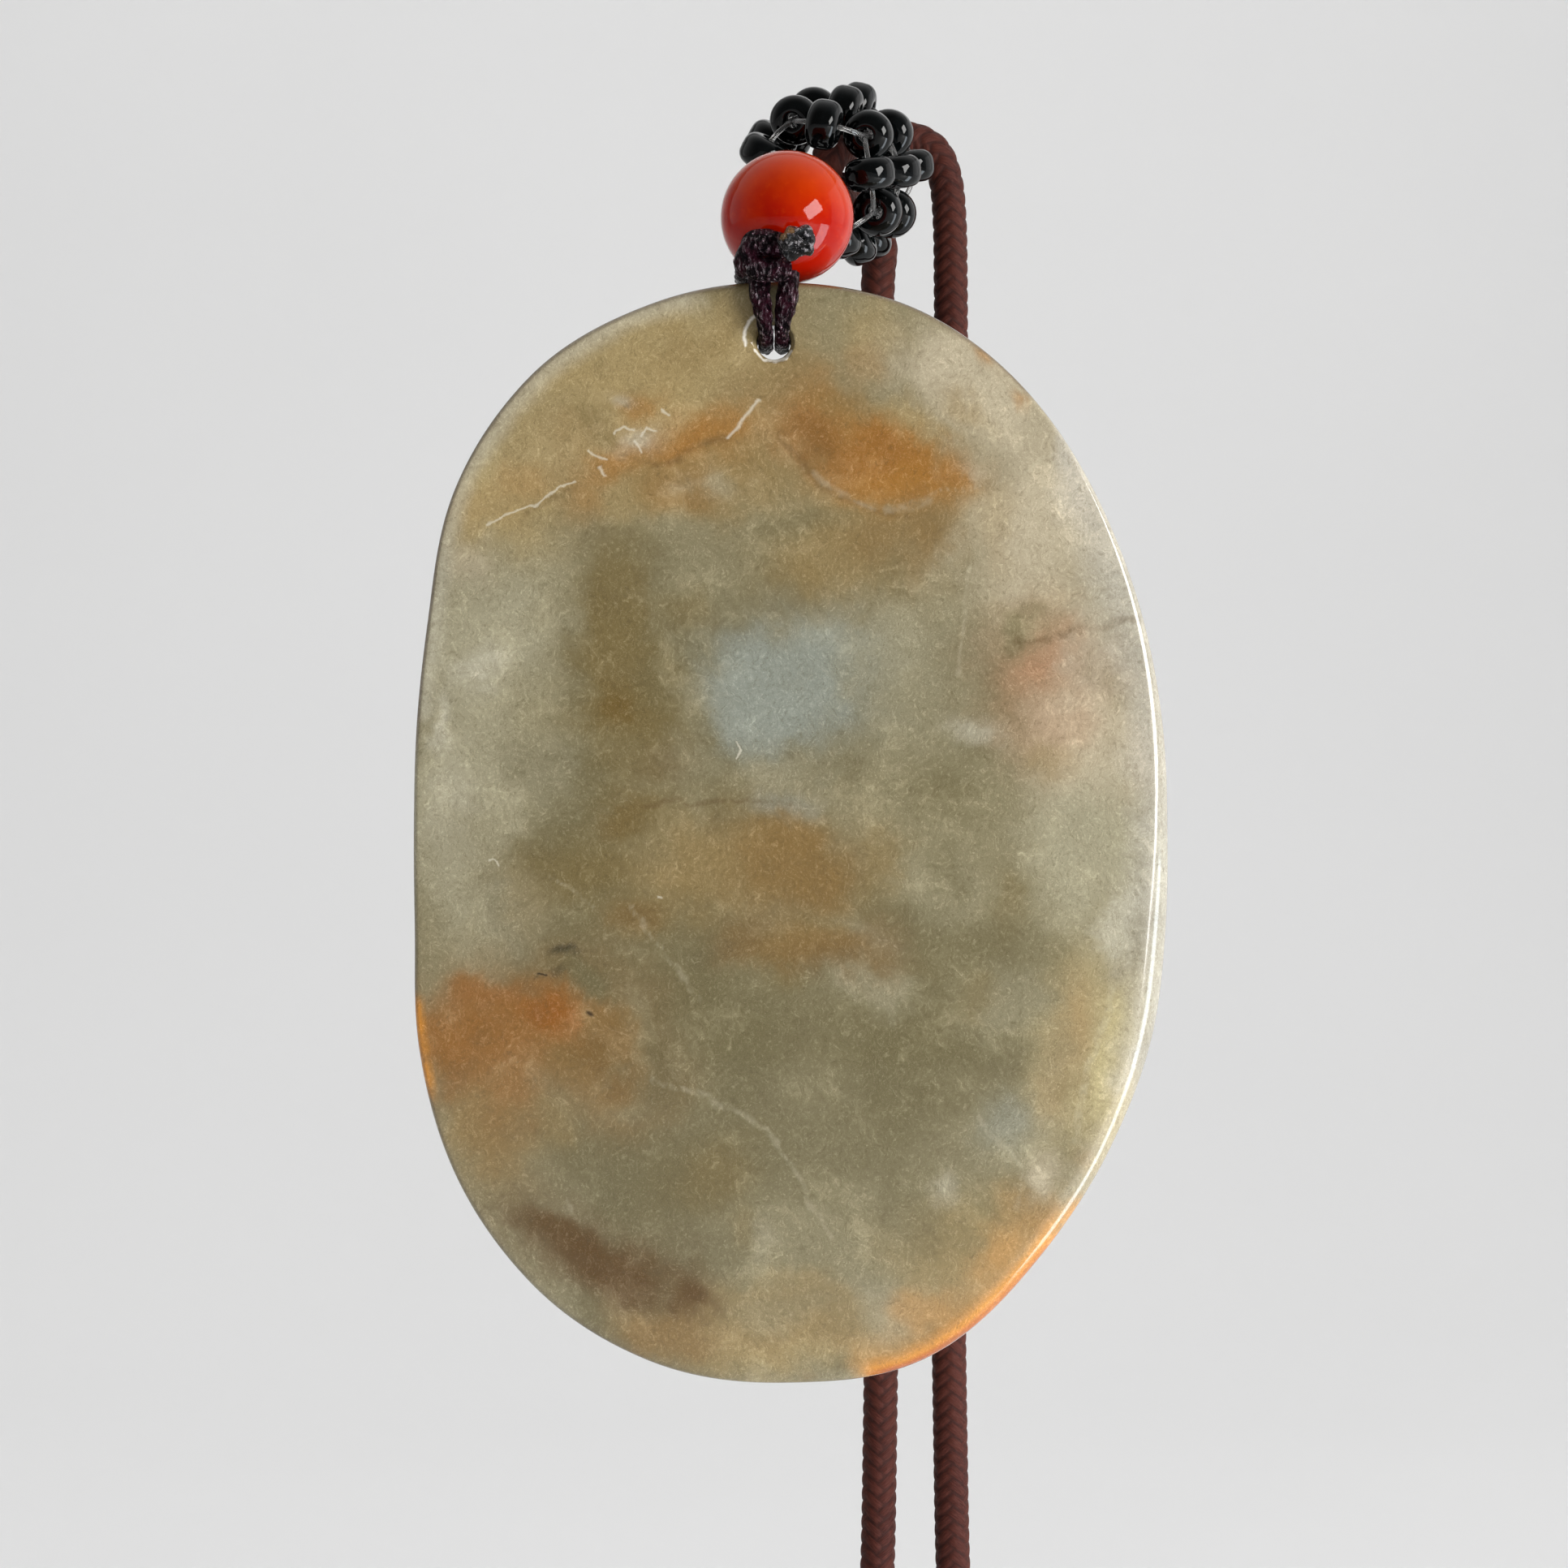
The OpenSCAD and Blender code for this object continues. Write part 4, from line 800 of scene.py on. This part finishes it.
def jade_material():
    s = Shade("mottled_jade", Coat_Weight=0.6, Coat_Roughness=0.03)
    place = s.place(PLAQUE_AT)

    def push(scale, rough):
        return s.vector("SUBTRACT", s.noise(place, scale, 4, rough, out="Color"), (0.5, 0.5, 0.5))

    small = push(0.9, 0.6)
    warped = s.vector("ADD", place, s.vector("MULTIPLY", push(0.16, 0.55), (3.2, 1.0, 3.2)))
    torn = s.vector("ADD", warped, s.vector("MULTIPLY", small, (1.7, 0.6, 1.7)))
    fine = s.noise(torn, 0.9, 5, 0.65)
    base = s.attribute("stone_tint", "Color")

    def lighter(base, tint):
        return s.mix(0.25, s.vector("MULTIPLY", base, (1.95, 1.95, 1.95)), tint)

    def darker(base, tint):
        return s.mix(0.5, s.vector("MULTIPLY", base, (0.55, 0.52, 0.45)), tint)

    # clouds and thin fibres, in three sizes, that follow the stone's flow
    noises = {
        "cotton": s.noise(torn, 0.30, 7, 0.70),
        "fibre": s.noise(s.vector("MULTIPLY", torn, (1.0, 1.0, 0.45)), 7.0, 5, 0.72),
        "grain": s.noise(place, 13.0, 3, 0.7),
    }
    for kind, looks in FIBRES.items():
        for (start, full, strength, tint), change in zip(looks, (lighter, darker)):
            base = s.tinted(base, noises[kind], start, full, strength, change(base, tint))
    inputs = {"Vector": torn, "Scale": 0.55}
    cell = s.node("ShaderNodeTexVoronoi", inputs, feature="DISTANCE_TO_EDGE")
    thin = s.fit(cell.outputs["Distance"], 0.05, 0.0)
    veins = s.math("MULTIPLY", thin, s.fit(noises["cotton"], 0.48, 0.6))
    base = s.mix(s.math("MULTIPLY", veins, 0.16), base, lighter(base, "#c9c1a9"))

    broken = s.fit(s.noise(place, 1.6, 3, 0.6), 0.38, 0.56, 0.35, 1.0)
    for kind, (tint, strength) in CRACK_LOOKS.items():
        share = s.math("MULTIPLY", s.fit(s.attribute(kind + "_crack"), 1.0, 0.1), broken)
        base = s.mix(s.math("MULTIPLY", share, strength), base, tint)

    lined = s.vector("ADD", place, s.vector("MULTIPLY", small, (0.7, 0.0, 0.7)))
    front = s.vector("ADD", lined, (0, PLAQUE_T / 2, 0))
    flat = s.vector("MULTIPLY", front, (1.0, MARK_DEPTH, 1.0))
    shares = {}
    share = base
    for kind, width, *points in MARKS:
        for (x1, z1), (x2, z2) in zip(points, points[1:]):
            share = s.near_line(s.after(flat, share), (x1, 0, z1), (x2, 0, z2), width)
            shares[kind] = s.math("MAXIMUM", shares[kind], share) if kind in shares else share
    # painted highlights round the hole and painted glints on the scratches, and the dark specks
    for kind, (tint, strength) in MARK_LOOKS.items():
        base = s.mix(s.math("MULTIPLY", shares[kind], strength), base, tint)
    return s.finish(base, s.fit(fine, 0.3, 0.7, 0.10, 0.20), s.bump(fine, 0.00003, 0.4))


# Plaque

RIM_STEP = 15
# Columns: outline as a share of the oval, front bevel as a share of its widest
RIM = np.array([
    (0.998, 0.65), (1.000, 0.50), (1.000, 0.35), (0.998, 0.25), (1.000, 0.20), (1.000, 0.25),
    (1.000, 0.30), (1.022, 0.25), (1.064, 0.20), (1.072, 0.18), (1.028, 0.18), (1.008, 0.18),
    (1.001, 0.18), (1.012, 0.18), (1.052, 0.18), (1.070, 0.18), (1.054, 0.18), (1.022, 0.20),
    (1.000, 0.22), (1.012, 0.50), (1.000, 0.75), (1.008, 0.75), (1.019, 1.00), (1.007, 0.95),
])
# The bevel's and the back edge's sections, and the steps between their rows
FRONT_RIM, FRONT_STEPS = [(1, 0), (0.62, 0.12), (0.30, 0.38), (0.08, 0.72), (0, 1)], 5
BACK_RIM, BACK_STEPS = [(0, 1), (0.12, 0.52), (0.45, 0.12), (1, 0)], 3
BEVEL_LEAST, BEVEL_SLOPE = 0.15, 0.7
ROUND_POINTS = 720
FRONT_RINGS = np.linspace(0.02, 0.99, 92)
BACK_RINGS = (0.1, 0.25, 0.4, 0.55, 0.7, 0.82, 0.92, 0.98)
# How far the hole's cutter stands out, and the radius of its core
CUTTER_OVER, CUTTER_CORE = 0.6, 0.0001


def through(rows, steps):
    """Points on a smooth line through the rows of a table."""
    line, _ = smooth([(*row, 0, 0) for row in rows], 1 / steps)
    return line[:, :2]


def rim(column, angles):
    place = angles / RIM_STEP
    i = np.floor(place).astype(int)
    return between(*(RIM[(i + k) % len(RIM), column] for k in (-1, 0, 1, 2)), place - i)


def outline(angles):
    """The plaque's edge: its distance from the middle at each angle."""
    c, s = np.cos(np.radians(angles)), np.sin(np.radians(angles))
    oval = (
        (np.abs(c) / (PLAQUE_W / 2)) ** FULLNESS + (np.abs(s) / (PLAQUE_H / 2)) ** FULLNESS
    ) ** (-1 / FULLNESS)
    return rim(0, angles) * oval


def plaque_mesh():
    n = ROUND_POINTS
    angles = np.arange(n) * 360 / n
    c, s = np.cos(np.radians(angles)), np.sin(np.radians(angles))
    edge = outline(angles)
    bevel = BEVEL_W * rim(1, angles)
    rings = [((edge - bevel) * share, 0 * edge + CROWN * share**2) for share in FRONT_RINGS]
    for inset, drop in through(FRONT_RIM, FRONT_STEPS):
        rings.append((edge - inset * bevel, CROWN + drop * (BEVEL_LEAST + BEVEL_SLOPE * bevel)))
    for inset, drop in through(BACK_RIM, BACK_STEPS):
        rings.append((edge - inset * BACK_ROUND, 0 * edge + PLAQUE_T - CROWN - drop * BACK_ROUND))
    for share in reversed(BACK_RINGS):
        rings.append(((edge - BACK_ROUND) * share, 0 * edge + PLAQUE_T - CROWN * share**2))
    verts = [np.stack([r * c, depth - PLAQUE_T / 2, r * s], 1) for r, depth in rings]
    middles = [(0, -PLAQUE_T / 2, 0), (0, PLAQUE_T / 2, 0)]
    last, end = (len(rings) - 1) * n, len(rings) * n
    faces = ring_faces(len(rings), n)
    for i in range(n):
        j = (i + 1) % n
        faces += [(end, i, j), (end + 1, last + j, last + i)]
    return np.vstack(verts + [middles]) + PLAQUE_AT, faces


def lathe(name, profile, centre, way, around):
    """A closed ring of revolution: the profile's rows are radius and place along way."""
    way = unit(np.array(way, dtype=float))
    right = unit(np.cross(way, (0, 0, 1) if abs(way[2]) < 0.9 else (1, 0, 0)))
    profile = np.array(profile, dtype=float)
    line = np.asarray(centre) + profile[:, 1:] * way
    turns = np.arange(around)[None] / around
    verts = tube_points(line, right[None], np.cross(way, right)[None], profile[:, :1], turns)
    return turned_out(link_mesh(name, verts, ring_faces(len(profile), around, closed=True)))


def hole_profile():
    mouth = PLAQUE_T / 2 - CROWN
    r = HOLE_D / 2
    flare = HOLE_CHAMFER
    half = [(r, 0), (r, mouth - 1.6 * flare), (r + 0.12 * flare, mouth - 0.9 * flare)]
    half += [(r + 0.4 * flare, mouth - 0.35 * flare), (r + flare, mouth + 0.02)]
    half += [(r + 2.2 * flare, mouth + CUTTER_OVER)]
    return [(a, -b) for a, b in reversed(half[1:])] + half


def make_plaque(material):
    piece = turned_out(link_mesh("jade_plaque_carved", *plaque_mesh()))
    profile = hole_profile()
    profile += [(CUTTER_CORE, profile[-1][1]), (CUTTER_CORE, profile[0][1])]
    cutter = lathe("hole_cutter", profile, (HOLE_X, PLAQUE_AT[1], HOLE_Z), (0, 1, 0), around=72)
    cut = piece.modifiers.new("hole", "BOOLEAN")
    cut.operation, cut.solver, cut.object = "DIFFERENCE", "EXACT", cutter
    depsgraph = bpy.context.evaluated_depsgraph_get()
    mesh = bpy.data.meshes.new_from_object(piece.evaluated_get(depsgraph))
    piece.modifiers.clear()
    piece.data = mesh
    bpy.data.objects.remove(cutter)
    places = np.empty(3 * len(mesh.vertices))
    mesh.vertices.foreach_get("co", places)
    x, y, z = (places.reshape(-1, 3) / MM - PLAQUE_AT).T
    angle = np.mod(np.degrees(np.arctan2(z, x)), 360)
    gap = outline(angle) - np.hypot(x, z)
    tints = stone_tints(x, z, y + PLAQUE_T / 2, gap, angle)
    point_values(piece, "stone_tint", np.insert(tints, 3, 1, axis=1), "FLOAT_COLOR")
    for kind in CRACK_LOOKS:
        point_values(piece, kind + "_crack", crack_gaps(kind, x, z))
    dress(piece, material, "jade", "jade_plaque")


# Making

# Rings of the winding per turn, its play round the cord, and the share of its pitch that
# each turn fills
SLIDE_CUTS, SLIDE_PLAY, SLIDE_FILL = 16, 0.1, 0.98

cord_look = neck_cord_material()
neck_points = neck_route()
neck, neck_line, neck_length = braided_tube("neck_cord_braid", neck_points, turn_start=0.12)
dress(neck, cord_look, "neck_cord", "neck_cord")


def bight_route():
    radius = NECK_SPREAD / 2
    rows = [in_bail(0, RUNS_L * k / 4, 0) + radius * RUNS_WAY for k in (4, 3, 2, 1)]
    for angle in range(0, 181, 15):
        rows.append(radius * cos(angle) * RUNS_WAY - radius * sin(angle) * BAIL_BACK)
    rows += [in_bail(0, RUNS_L * k / 4, 0) - radius * RUNS_WAY for k in (1, 2, 3, 4)]
    return [(*p, NECK_D / 2) for p in rows]


bight, _, _ = braided_tube("cord_bight_braid", bight_route(), turn_start=0.3)
dress(bight, cord_look, "neck_cord", "cord_bight")


def slide_route():
    """A flat winding round the cord, in turns side by side."""
    bore = NECK_D / 2 + SLIDE_PLAY
    thick = (SLIDE_D / 2 - bore) / 2
    middle = bore + thick
    width = SLIDE_L / SLIDE_TURNS
    rows = []
    for k in range((SLIDE_TURNS - 1) * SLIDE_CUTS + 1):
        turn = k / SLIDE_CUTS
        x = LOOP_MIDDLE - SLIDE_L / 2 + width / 2 + turn * width
        y, z = LOOP_Y + middle * cos(360 * turn), LOOP_BOTTOM + middle * sin(360 * turn)
        rows.append((x, y, z, thick))
    return rows, width / 2 / thick


slide_rows, slide_flat = slide_route()
slide, _, _ = braided_tube("slide_knot_winding", slide_rows, wide=slide_flat * SLIDE_FILL)
dress(slide, cord_look, "neck_cord", "slide_knot")

make_plaque(jade_material())

RED_EDGE = 0.16
RED_CUTS = 64


def make_red_bead(material):
    bore, edge = RED_BORE_D / 2, RED_EDGE
    start = math.degrees(math.asin((bore + edge) / RED_R))
    angles = [start + (180 - 2 * start) * k / RED_CUTS for k in range(RED_CUTS + 1)]
    profile = [(RED_R * sin(angle), RED_R * cos(angle)) for angle in angles]
    end = RED_R * cos(start)
    half = [(bore + 0.3 * edge, end - 0.03), (bore, end - 0.7 * edge), (bore, end - 1.6)]
    profile += [(r, -along) for r, along in half] + half[::-1]
    piece = lathe("red_bead_polished", profile, RED_AT, BORE_WAY, around=128)
    dress(piece, material, "carnelian", "red_bead")


make_red_bead(carnelian_material())


# Columns: kind of row, place along the bail in pitches, radius share, first angle
BAIL_ROWS = [
    ("edge", -2, 0.79, 6), ("rung", -1, 0.90, 41), ("edge", 0, 0.96, 3),
    ("rung", 1, 0.95, 36), ("edge", 2, 0.96, 4),
]
SEED_CUTS = 12
SEED_LIP = 0.12


def bead_place(row, i):
    """Middle of a black bead and the direction of its hole."""
    kind, along, share, first = BAIL_ROWS[row]
    angle = first + 360 * i / ROW_BEADS
    middle = BAIL_R * share * in_bail(cos(angle), 0, sin(angle)) + along * ROW_PITCH * BAIL_BACK
    return middle, BAIL_BACK if kind == "rung" else in_bail(-sin(angle), 0, cos(angle))


def seed_profile(length, width, rounding):
    """Ring section of a seed bead, with a soft lip at each mouth of its hole."""
    r, half, bore, lip = width / 2, length / 2, SEED_BORE_D / 2, SEED_LIP
    upper = []
    for k in range(SEED_CUTS + 1):
        angle = 90 * k / SEED_CUTS
        out, along = rounding * sin(angle), rounding * cos(angle)
        upper.append((r - rounding + out, half - rounding + along))
    mouth = [(bore + lip, half), (bore + 0.3 * lip, half - 0.3 * lip), (bore, half - lip)]
    lower = [(a, -b) for a, b in upper[::-1] + mouth]
    return upper + [(r + 0.012, 0)] + lower + mouth[::-1]


def make_bail_beads(material):
    for row in range(len(BAIL_ROWS)):
        for i in range(ROW_BEADS):
            middle, way = bead_place(row, i)
            length = SEED_L * rng.uniform(0.97, 1.0)
            width = SEED_D * rng.uniform(0.98, 1.0)
            profile = seed_profile(length, width, SEED_ROUND * rng.uniform(0.92, 1.06))
            name = f"bail_bead_{row + 1}_{i + 1}"
            piece = lathe(name + "_glass", profile, middle, way, around=64)
            dress(piece, material, "black_glass", name)


make_bail_beads(black_glass_material())

THREAD_D = 0.3
THREAD_AROUND = 10
THREAD_STEP = 0.14


def thread_rows(row, i):
    """A closed loop of thread through four beads: two lengthwise and two crosswise."""
    rows = []
    for at_row, at, sign in ((row, i, 1), (row + 1, i, 1), (row + 2, i, -1), (row + 1, i - 1, -1)):
        middle, way = bead_place(at_row, at)
        rows += [middle - sign * SEED_L / 2 * way, middle + sign * SEED_L / 2 * way]
    return rows


def make_thread(material):
    """One mesh of ten closed thread loops, each a smooth line round its four beads."""
    verts, faces = [], []
    turns = np.arange(THREAD_AROUND)[None] / THREAD_AROUND
    for row in (0, 2):
        for i in range(ROW_BEADS):
            rows = thread_rows(row, i)
            wrapped = [*rows[-2:], *rows, *rows[:3]]
            line, _ = smooth([(*p, 0) for p in wrapped], THREAD_STEP)
            half = len(line) // 2
            away = np.linalg.norm(line[:, :3] - rows[0], axis=1)
            loop = line[np.argmin(away[:half]) : half + np.argmin(away[half:]), :3]
            ahead = np.roll(loop, -1, axis=0) - np.roll(loop, 1, axis=0)
            ahead /= np.linalg.norm(ahead, axis=1)[:, None]
            out = loop - loop.mean(axis=0)
            out -= ahead * np.sum(out * ahead, axis=1)[:, None]
            out /= np.linalg.norm(out, axis=1)[:, None]
            squares = np.array(ring_faces(len(loop), THREAD_AROUND, closed=True))
            faces += (squares + len(verts)).tolist()
            verts += tube_points(loop, out, np.cross(ahead, out), THREAD_D / 2, turns).tolist()
    dress(turned_out(link_mesh("bail_thread", verts, faces)), material, "thread")


make_thread(thread_material())


# Tie cord

STRAND_Z = 0.14
# Columns: out to the strand's side, away from the face, up, and share of full thickness
STRAND_FRONT = [
    (0.40, 0.50, 3.70, 1.0), (0.34, 0.62, 2.70, 1.0), (0.20, 0.70, 1.80, 0.8),
    (0.08, 0.58, 1.10, 0.4), (0.02, 0.36, 0.50, 0.1), (0, -0.10, 0.10, 0), (0, -0.80, 0, 0),
]
STRAND_BACK = [
    (0, 1.00, 0, 0), (0, 0.05, 0.05, 0), (0.03, -0.42, 0.45, 0.1), (0.08, -0.62, 1.10, 0.2),
]
# Columns: places from the top of the plaque, and share of the cord's thickness
OVER_TOP = [
    (-2.00, 3.20, -0.60, 0.8), (-2.60, 2.60, 0.30, 0.7), (-2.85, 1.40, 0.50, 0.62),
    (-2.86, 0, 0.50, 0.62), (-2.82, -1.40, 0.52, 0.62), (-2.82, -2.40, 0.74, 0.66),
    (-2.84, -3.00, 0.92, 0.7), (-2.84, -3.45, 0.98, 0.7),
]
LOOP_R = NECK_D / 2 + TIE_TIGHT_D / 2 + TIE_PLAY
LOOP_SHARE = 0.6
LOOP_FRONT = in_bail(0, -2 * ROW_PITCH, 0)
BIGHT_AT = in_bail(0, -NECK_SPREAD / 2, 0)
BEHIND_RED = RED_AT + vec(0.6, RED_R + TIE_TIGHT_D, 0)


def strand_runs(side):
    x = HOLE_X + side * (TIE_TIGHT_D / 2 + PLAY / 2)
    rows = []
    for table, face_y in ((STRAND_FRONT, FACE_Y), (STRAND_BACK, BACK_Y)):
        for out, forward, up, share in table:
            radius = (TIE_TIGHT_D + share * (TIE_D - TIE_TIGHT_D)) / 2
            rows.append((x + side * out, face_y - forward, HOLE_Z + STRAND_Z + up, radius))
    return rows


def left_route():
    top_x, top_y, _ = PLAQUE_AT
    return strand_runs(-1) + [
        (top_x + x, top_y + y * PLAQUE_T / 5, PLAQUE_TOP + z, share * TIE_D / 2)
        for x, y, z, share in OVER_TOP
    ]


def right_route():
    points = [
        (HOLE_X + 0.8, BACK_Y + 0.75, PLAQUE_TOP - 0.8),
        (HOLE_X + 1.1, BACK_Y + 1.4, PLAQUE_TOP + 0.8),
        BEHIND_RED + (-0.2, 0, -1.4),
        BEHIND_RED + (0, 0.1, 0.2),
        BEHIND_RED + (0.5, 0.6, 1.5),
        LOOP_FRONT + (0, -0.7, -0.9) - 0.4 * LOOP_R * LOOP_WAY,
        LOOP_FRONT + 0.6 * BAIL_BACK - LOOP_SHARE * LOOP_R * LOOP_WAY,
        BIGHT_AT - 1.1 * BAIL_BACK - 0.95 * LOOP_R * LOOP_WAY,
    ]
    for angle in range(0, 181, 30):
        points.append(BIGHT_AT + LOOP_R * (-cos(angle) * LOOP_WAY + sin(angle) * BAIL_BACK))
    points += [
        BIGHT_AT - 1.1 * BAIL_BACK + 0.95 * LOOP_R * LOOP_WAY,
        LOOP_FRONT + 0.3 * BAIL_BACK + LOOP_SHARE * LOOP_R * LOOP_WAY,
        UPPER_MOUTH + 1.6 * BORE_WAY,
        UPPER_MOUTH + 0.6 * BORE_WAY,
        RED_AT,
        LOWER_MOUTH,
    ]
    return strand_runs(1) + [(*p, TIE_TIGHT_D / 2) for p in points]


TWIST_PLIES = 3
TWIST_LAY = 3.4
TWIST_DEPTH = 0.16
TWIST_UNEVEN = 0.022
TWIST_AROUND = 36
TWIST_STEP = 0.09


def twisted_tube(name, route, seed, fuller=-0.02):
    """A closed tube of twisted plies along the route, a little uneven."""
    line, _ = smooth(route, TWIST_STEP)
    rings, around = len(line), TWIST_AROUND
    turn, run = np.meshgrid(np.arange(around) / around, np.arange(rings) * TWIST_STEP)
    chance = np.random.default_rng(seed)
    ply = TWIST_PLIES * (turn + run / TWIST_LAY) + 0.25 * np.sin(run * 1.3 + chance.uniform(0, 6))
    height = np.sqrt(np.clip(1 - (1.9 * (np.mod(ply, 1) - 0.5)) ** 2, 0.02, 1))
    uneven = 0
    for _ in range(9):
        wave = 2 * np.pi * turn * chance.integers(1, 7) + run * chance.uniform(-9, 9)
        uneven = uneven + TWIST_UNEVEN * np.sin(wave + chance.uniform(0, 6))
    radius = line[:, 3:4] * (1.0 - TWIST_DEPTH * (1 - height) + uneven + fuller)
    verts = tube_points(line, *frames(line), radius, turn)
    piece = link_mesh(name, verts, ring_faces(rings, around) + end_caps(rings, around))
    point_values(piece, "height", height)
    return piece


KNOT_AT = LOWER_MOUTH - vec(0.5, TIE_D / 2 + 0.58, 0.16)
# Columns: places from the knot's middle in its widths, and share of the cord's thickness
KNOT_TURN = [
    (0.25, 0, 0.07, 0.90), (0.14, -0.02, 0.13, 1.05), (-0.06, -0.02, 0.16, 1.15),
    (-0.22, -0.01, 0.12, 1.10), (-0.32, -0.02, -0.03, 1.00), (-0.28, -0.05, -0.17, 0.97),
    (-0.14, -0.06, -0.225, 0.97), (0.06, -0.06, -0.235, 0.95), (0.20, -0.06, -0.235, 0.90),
    (0.32, -0.05, -0.225, 0.80),
]
KNOT_ROUTE = [(*(KNOT_AT + KNOT_W * vec(x, y, z)), r * TIE_D / 2) for x, y, z, r in KNOT_TURN]

tie_look = tie_cord_material()
dress(twisted_tube("tie_left_cord", left_route(), 1), tie_look, "tie_cord", "tie_left")
dress(twisted_tube("tie_right_cord", right_route(), 2), tie_look, "tie_cord", "tie_right")
dress(twisted_tube("tie_knot_turn", KNOT_ROUTE, 3, fuller=0.14), tie_look, "tie_cord", "tie_knot")

MELT_WAY = unit(vec(0.4, -0.9, 0.12))
MELT_AT = vec(*KNOT_ROUTE[0][:3]) + (TIE_D + MELT_D) / 2 * MELT_WAY
# Waves over the melted end: how many to its radius, and how high
MELT_WAVES = ((2.2, 0.06), (3.1, 0.05), (4.3, 0.05), (6.5, 0.04), (9.0, 0.03), (14, 0.022))


def make_melted_end(material):
    """A lumpy drop: a fine ball pushed in and out by a few waves."""
    work = bmesh.new()
    bmesh.ops.create_icosphere(work, subdivisions=5, radius=1.0)
    waves = np.random.default_rng(11)
    lumps = [
        (unit(waves.normal(size=3)) * close, waves.uniform(0, 6.28), height)
        for close, height in MELT_WAVES
        for _ in range(3)
    ]
    for vert in work.verts:
        p = np.array(vert.co)
        swell = sum(height * math.sin(p.dot(way) + phase) for way, phase, height in lumps)
        vert.co = Vector((MELT_AT + MELT_D / 2 * (1.0 + swell) * p) * MM)
    piece = link_mesh("melted_drop", [], [])
    work.to_mesh(piece.data)
    work.free()
    piece.data.shade_smooth()
    dress(piece, material, "melted_cord", "tie_melted_end")


make_melted_end(melted_material())


# Studio

FLOOR_DROP = 3.0
FLOOR_Z = CAD_BOX[0][2] / MM - FLOOR_DROP
SWEEP_Y, SWEEP_R, WALL_TOP, SWEEP_SIDE, SWEEP_FRONT = 1300, 500, 1600, 2400, -1800
SWEEP_CUTS = 16


def make_sweep():
    """A pale floor that turns up into a plain wall behind the object."""
    profile = [(SWEEP_FRONT, FLOOR_Z), (SWEEP_Y - SWEEP_R, FLOOR_Z)]
    for k in range(1, SWEEP_CUTS + 1):
        angle = 90 * k / SWEEP_CUTS
        profile.append((
            SWEEP_Y - SWEEP_R + SWEEP_R * sin(angle), FLOOR_Z + SWEEP_R * (1 - cos(angle))
        ))
    profile.append((SWEEP_Y, WALL_TOP))
    verts = [(side, y, z) for y, z in profile for side in (-SWEEP_SIDE, SWEEP_SIDE)]
    faces = [(2 * k, 2 * k + 1, 2 * k + 3, 2 * k + 2) for k in range(len(profile) - 1)]
    sweep = link_mesh("floor_sweep", verts, faces)
    s = Shade("pale_paper")
    base = s.mix(s.noise(s.place(), 0.004, 2), "#e8e8e8", "#ededed")
    sweep.data.materials.append(s.finish(base, 0.9))


make_sweep()


def make_light(name, at, towards, width, height, power, tint=(1, 1, 1), roll=0, glossy=True):
    data = bpy.data.lights.new(name, "AREA")
    data.shape = "RECTANGLE"
    data.size, data.size_y = width * MM, height * MM
    data.energy = power
    data.color = tint
    lamp = bpy.data.objects.new(name, data)
    lamp.location = Vector(at) * MM
    way = Vector(towards) - Vector(at)
    turn = way.to_track_quat("-Z", "Y") @ Quaternion((0, 0, 1), math.radians(roll))
    lamp.rotation_euler = turn.to_euler()
    lamp.visible_glossy = glossy
    lamp.visible_camera = False
    bpy.context.collection.objects.link(lamp)


TARGET = (0, -10, -30)
make_light("window_upper", (530, -526, 94), TARGET, 430, 270, 4.7, (1.0, 0.99, 0.97), roll=35)
make_light("window_lower", (185, -76, -122), TARGET, 70, 150, 0.23, (0.82, 0.92, 1.0))
make_light("side_panel", (700, 300, -40), TARGET, 900, 1100, 1.6)
make_light("overhead", (-100, -250, 700), TARGET, 900, 700, 0.9, glossy=False)
make_light("fill", (-500, -700, 100), TARGET, 700, 700, 0.42, glossy=False)
make_light("backdrop", (0, 500, 900), (0, 1300, 100), 1600, 600, 7.5, glossy=False)

WORLD_FRONT, WORLD_BACK = 0.10, 0.74


def make_world():
    """Plain studio surroundings: pale behind and above, dimmer in front."""
    world = bpy.data.worlds.new("studio")
    bpy.context.scene.world = world
    world.use_nodes = True
    tree = world.node_tree
    back = tree.nodes["Background"]
    where = tree.nodes.new("ShaderNodeTexCoord").outputs["Generated"]
    split = tree.nodes.new("ShaderNodeSeparateXYZ")
    fit = tree.nodes.new("ShaderNodeMapRange")
    fit.interpolation_type = "SMOOTHSTEP"
    ends = {"From Min": -0.7, "From Max": 0.5, "To Min": WORLD_FRONT, "To Max": WORLD_BACK}
    for key, value in ends.items():
        fit.inputs[key].default_value = value
    tree.links.new(where, split.inputs[0])
    tree.links.new(split.outputs[1], fit.inputs["Value"])
    tree.links.new(fit.outputs["Result"], back.inputs["Strength"])
    back.inputs["Color"].default_value = (1.0, 1.0, 1.0, 1)


make_world()

view = bpy.context.scene.view_settings
view.view_transform = "Standard"
view.look = "None"
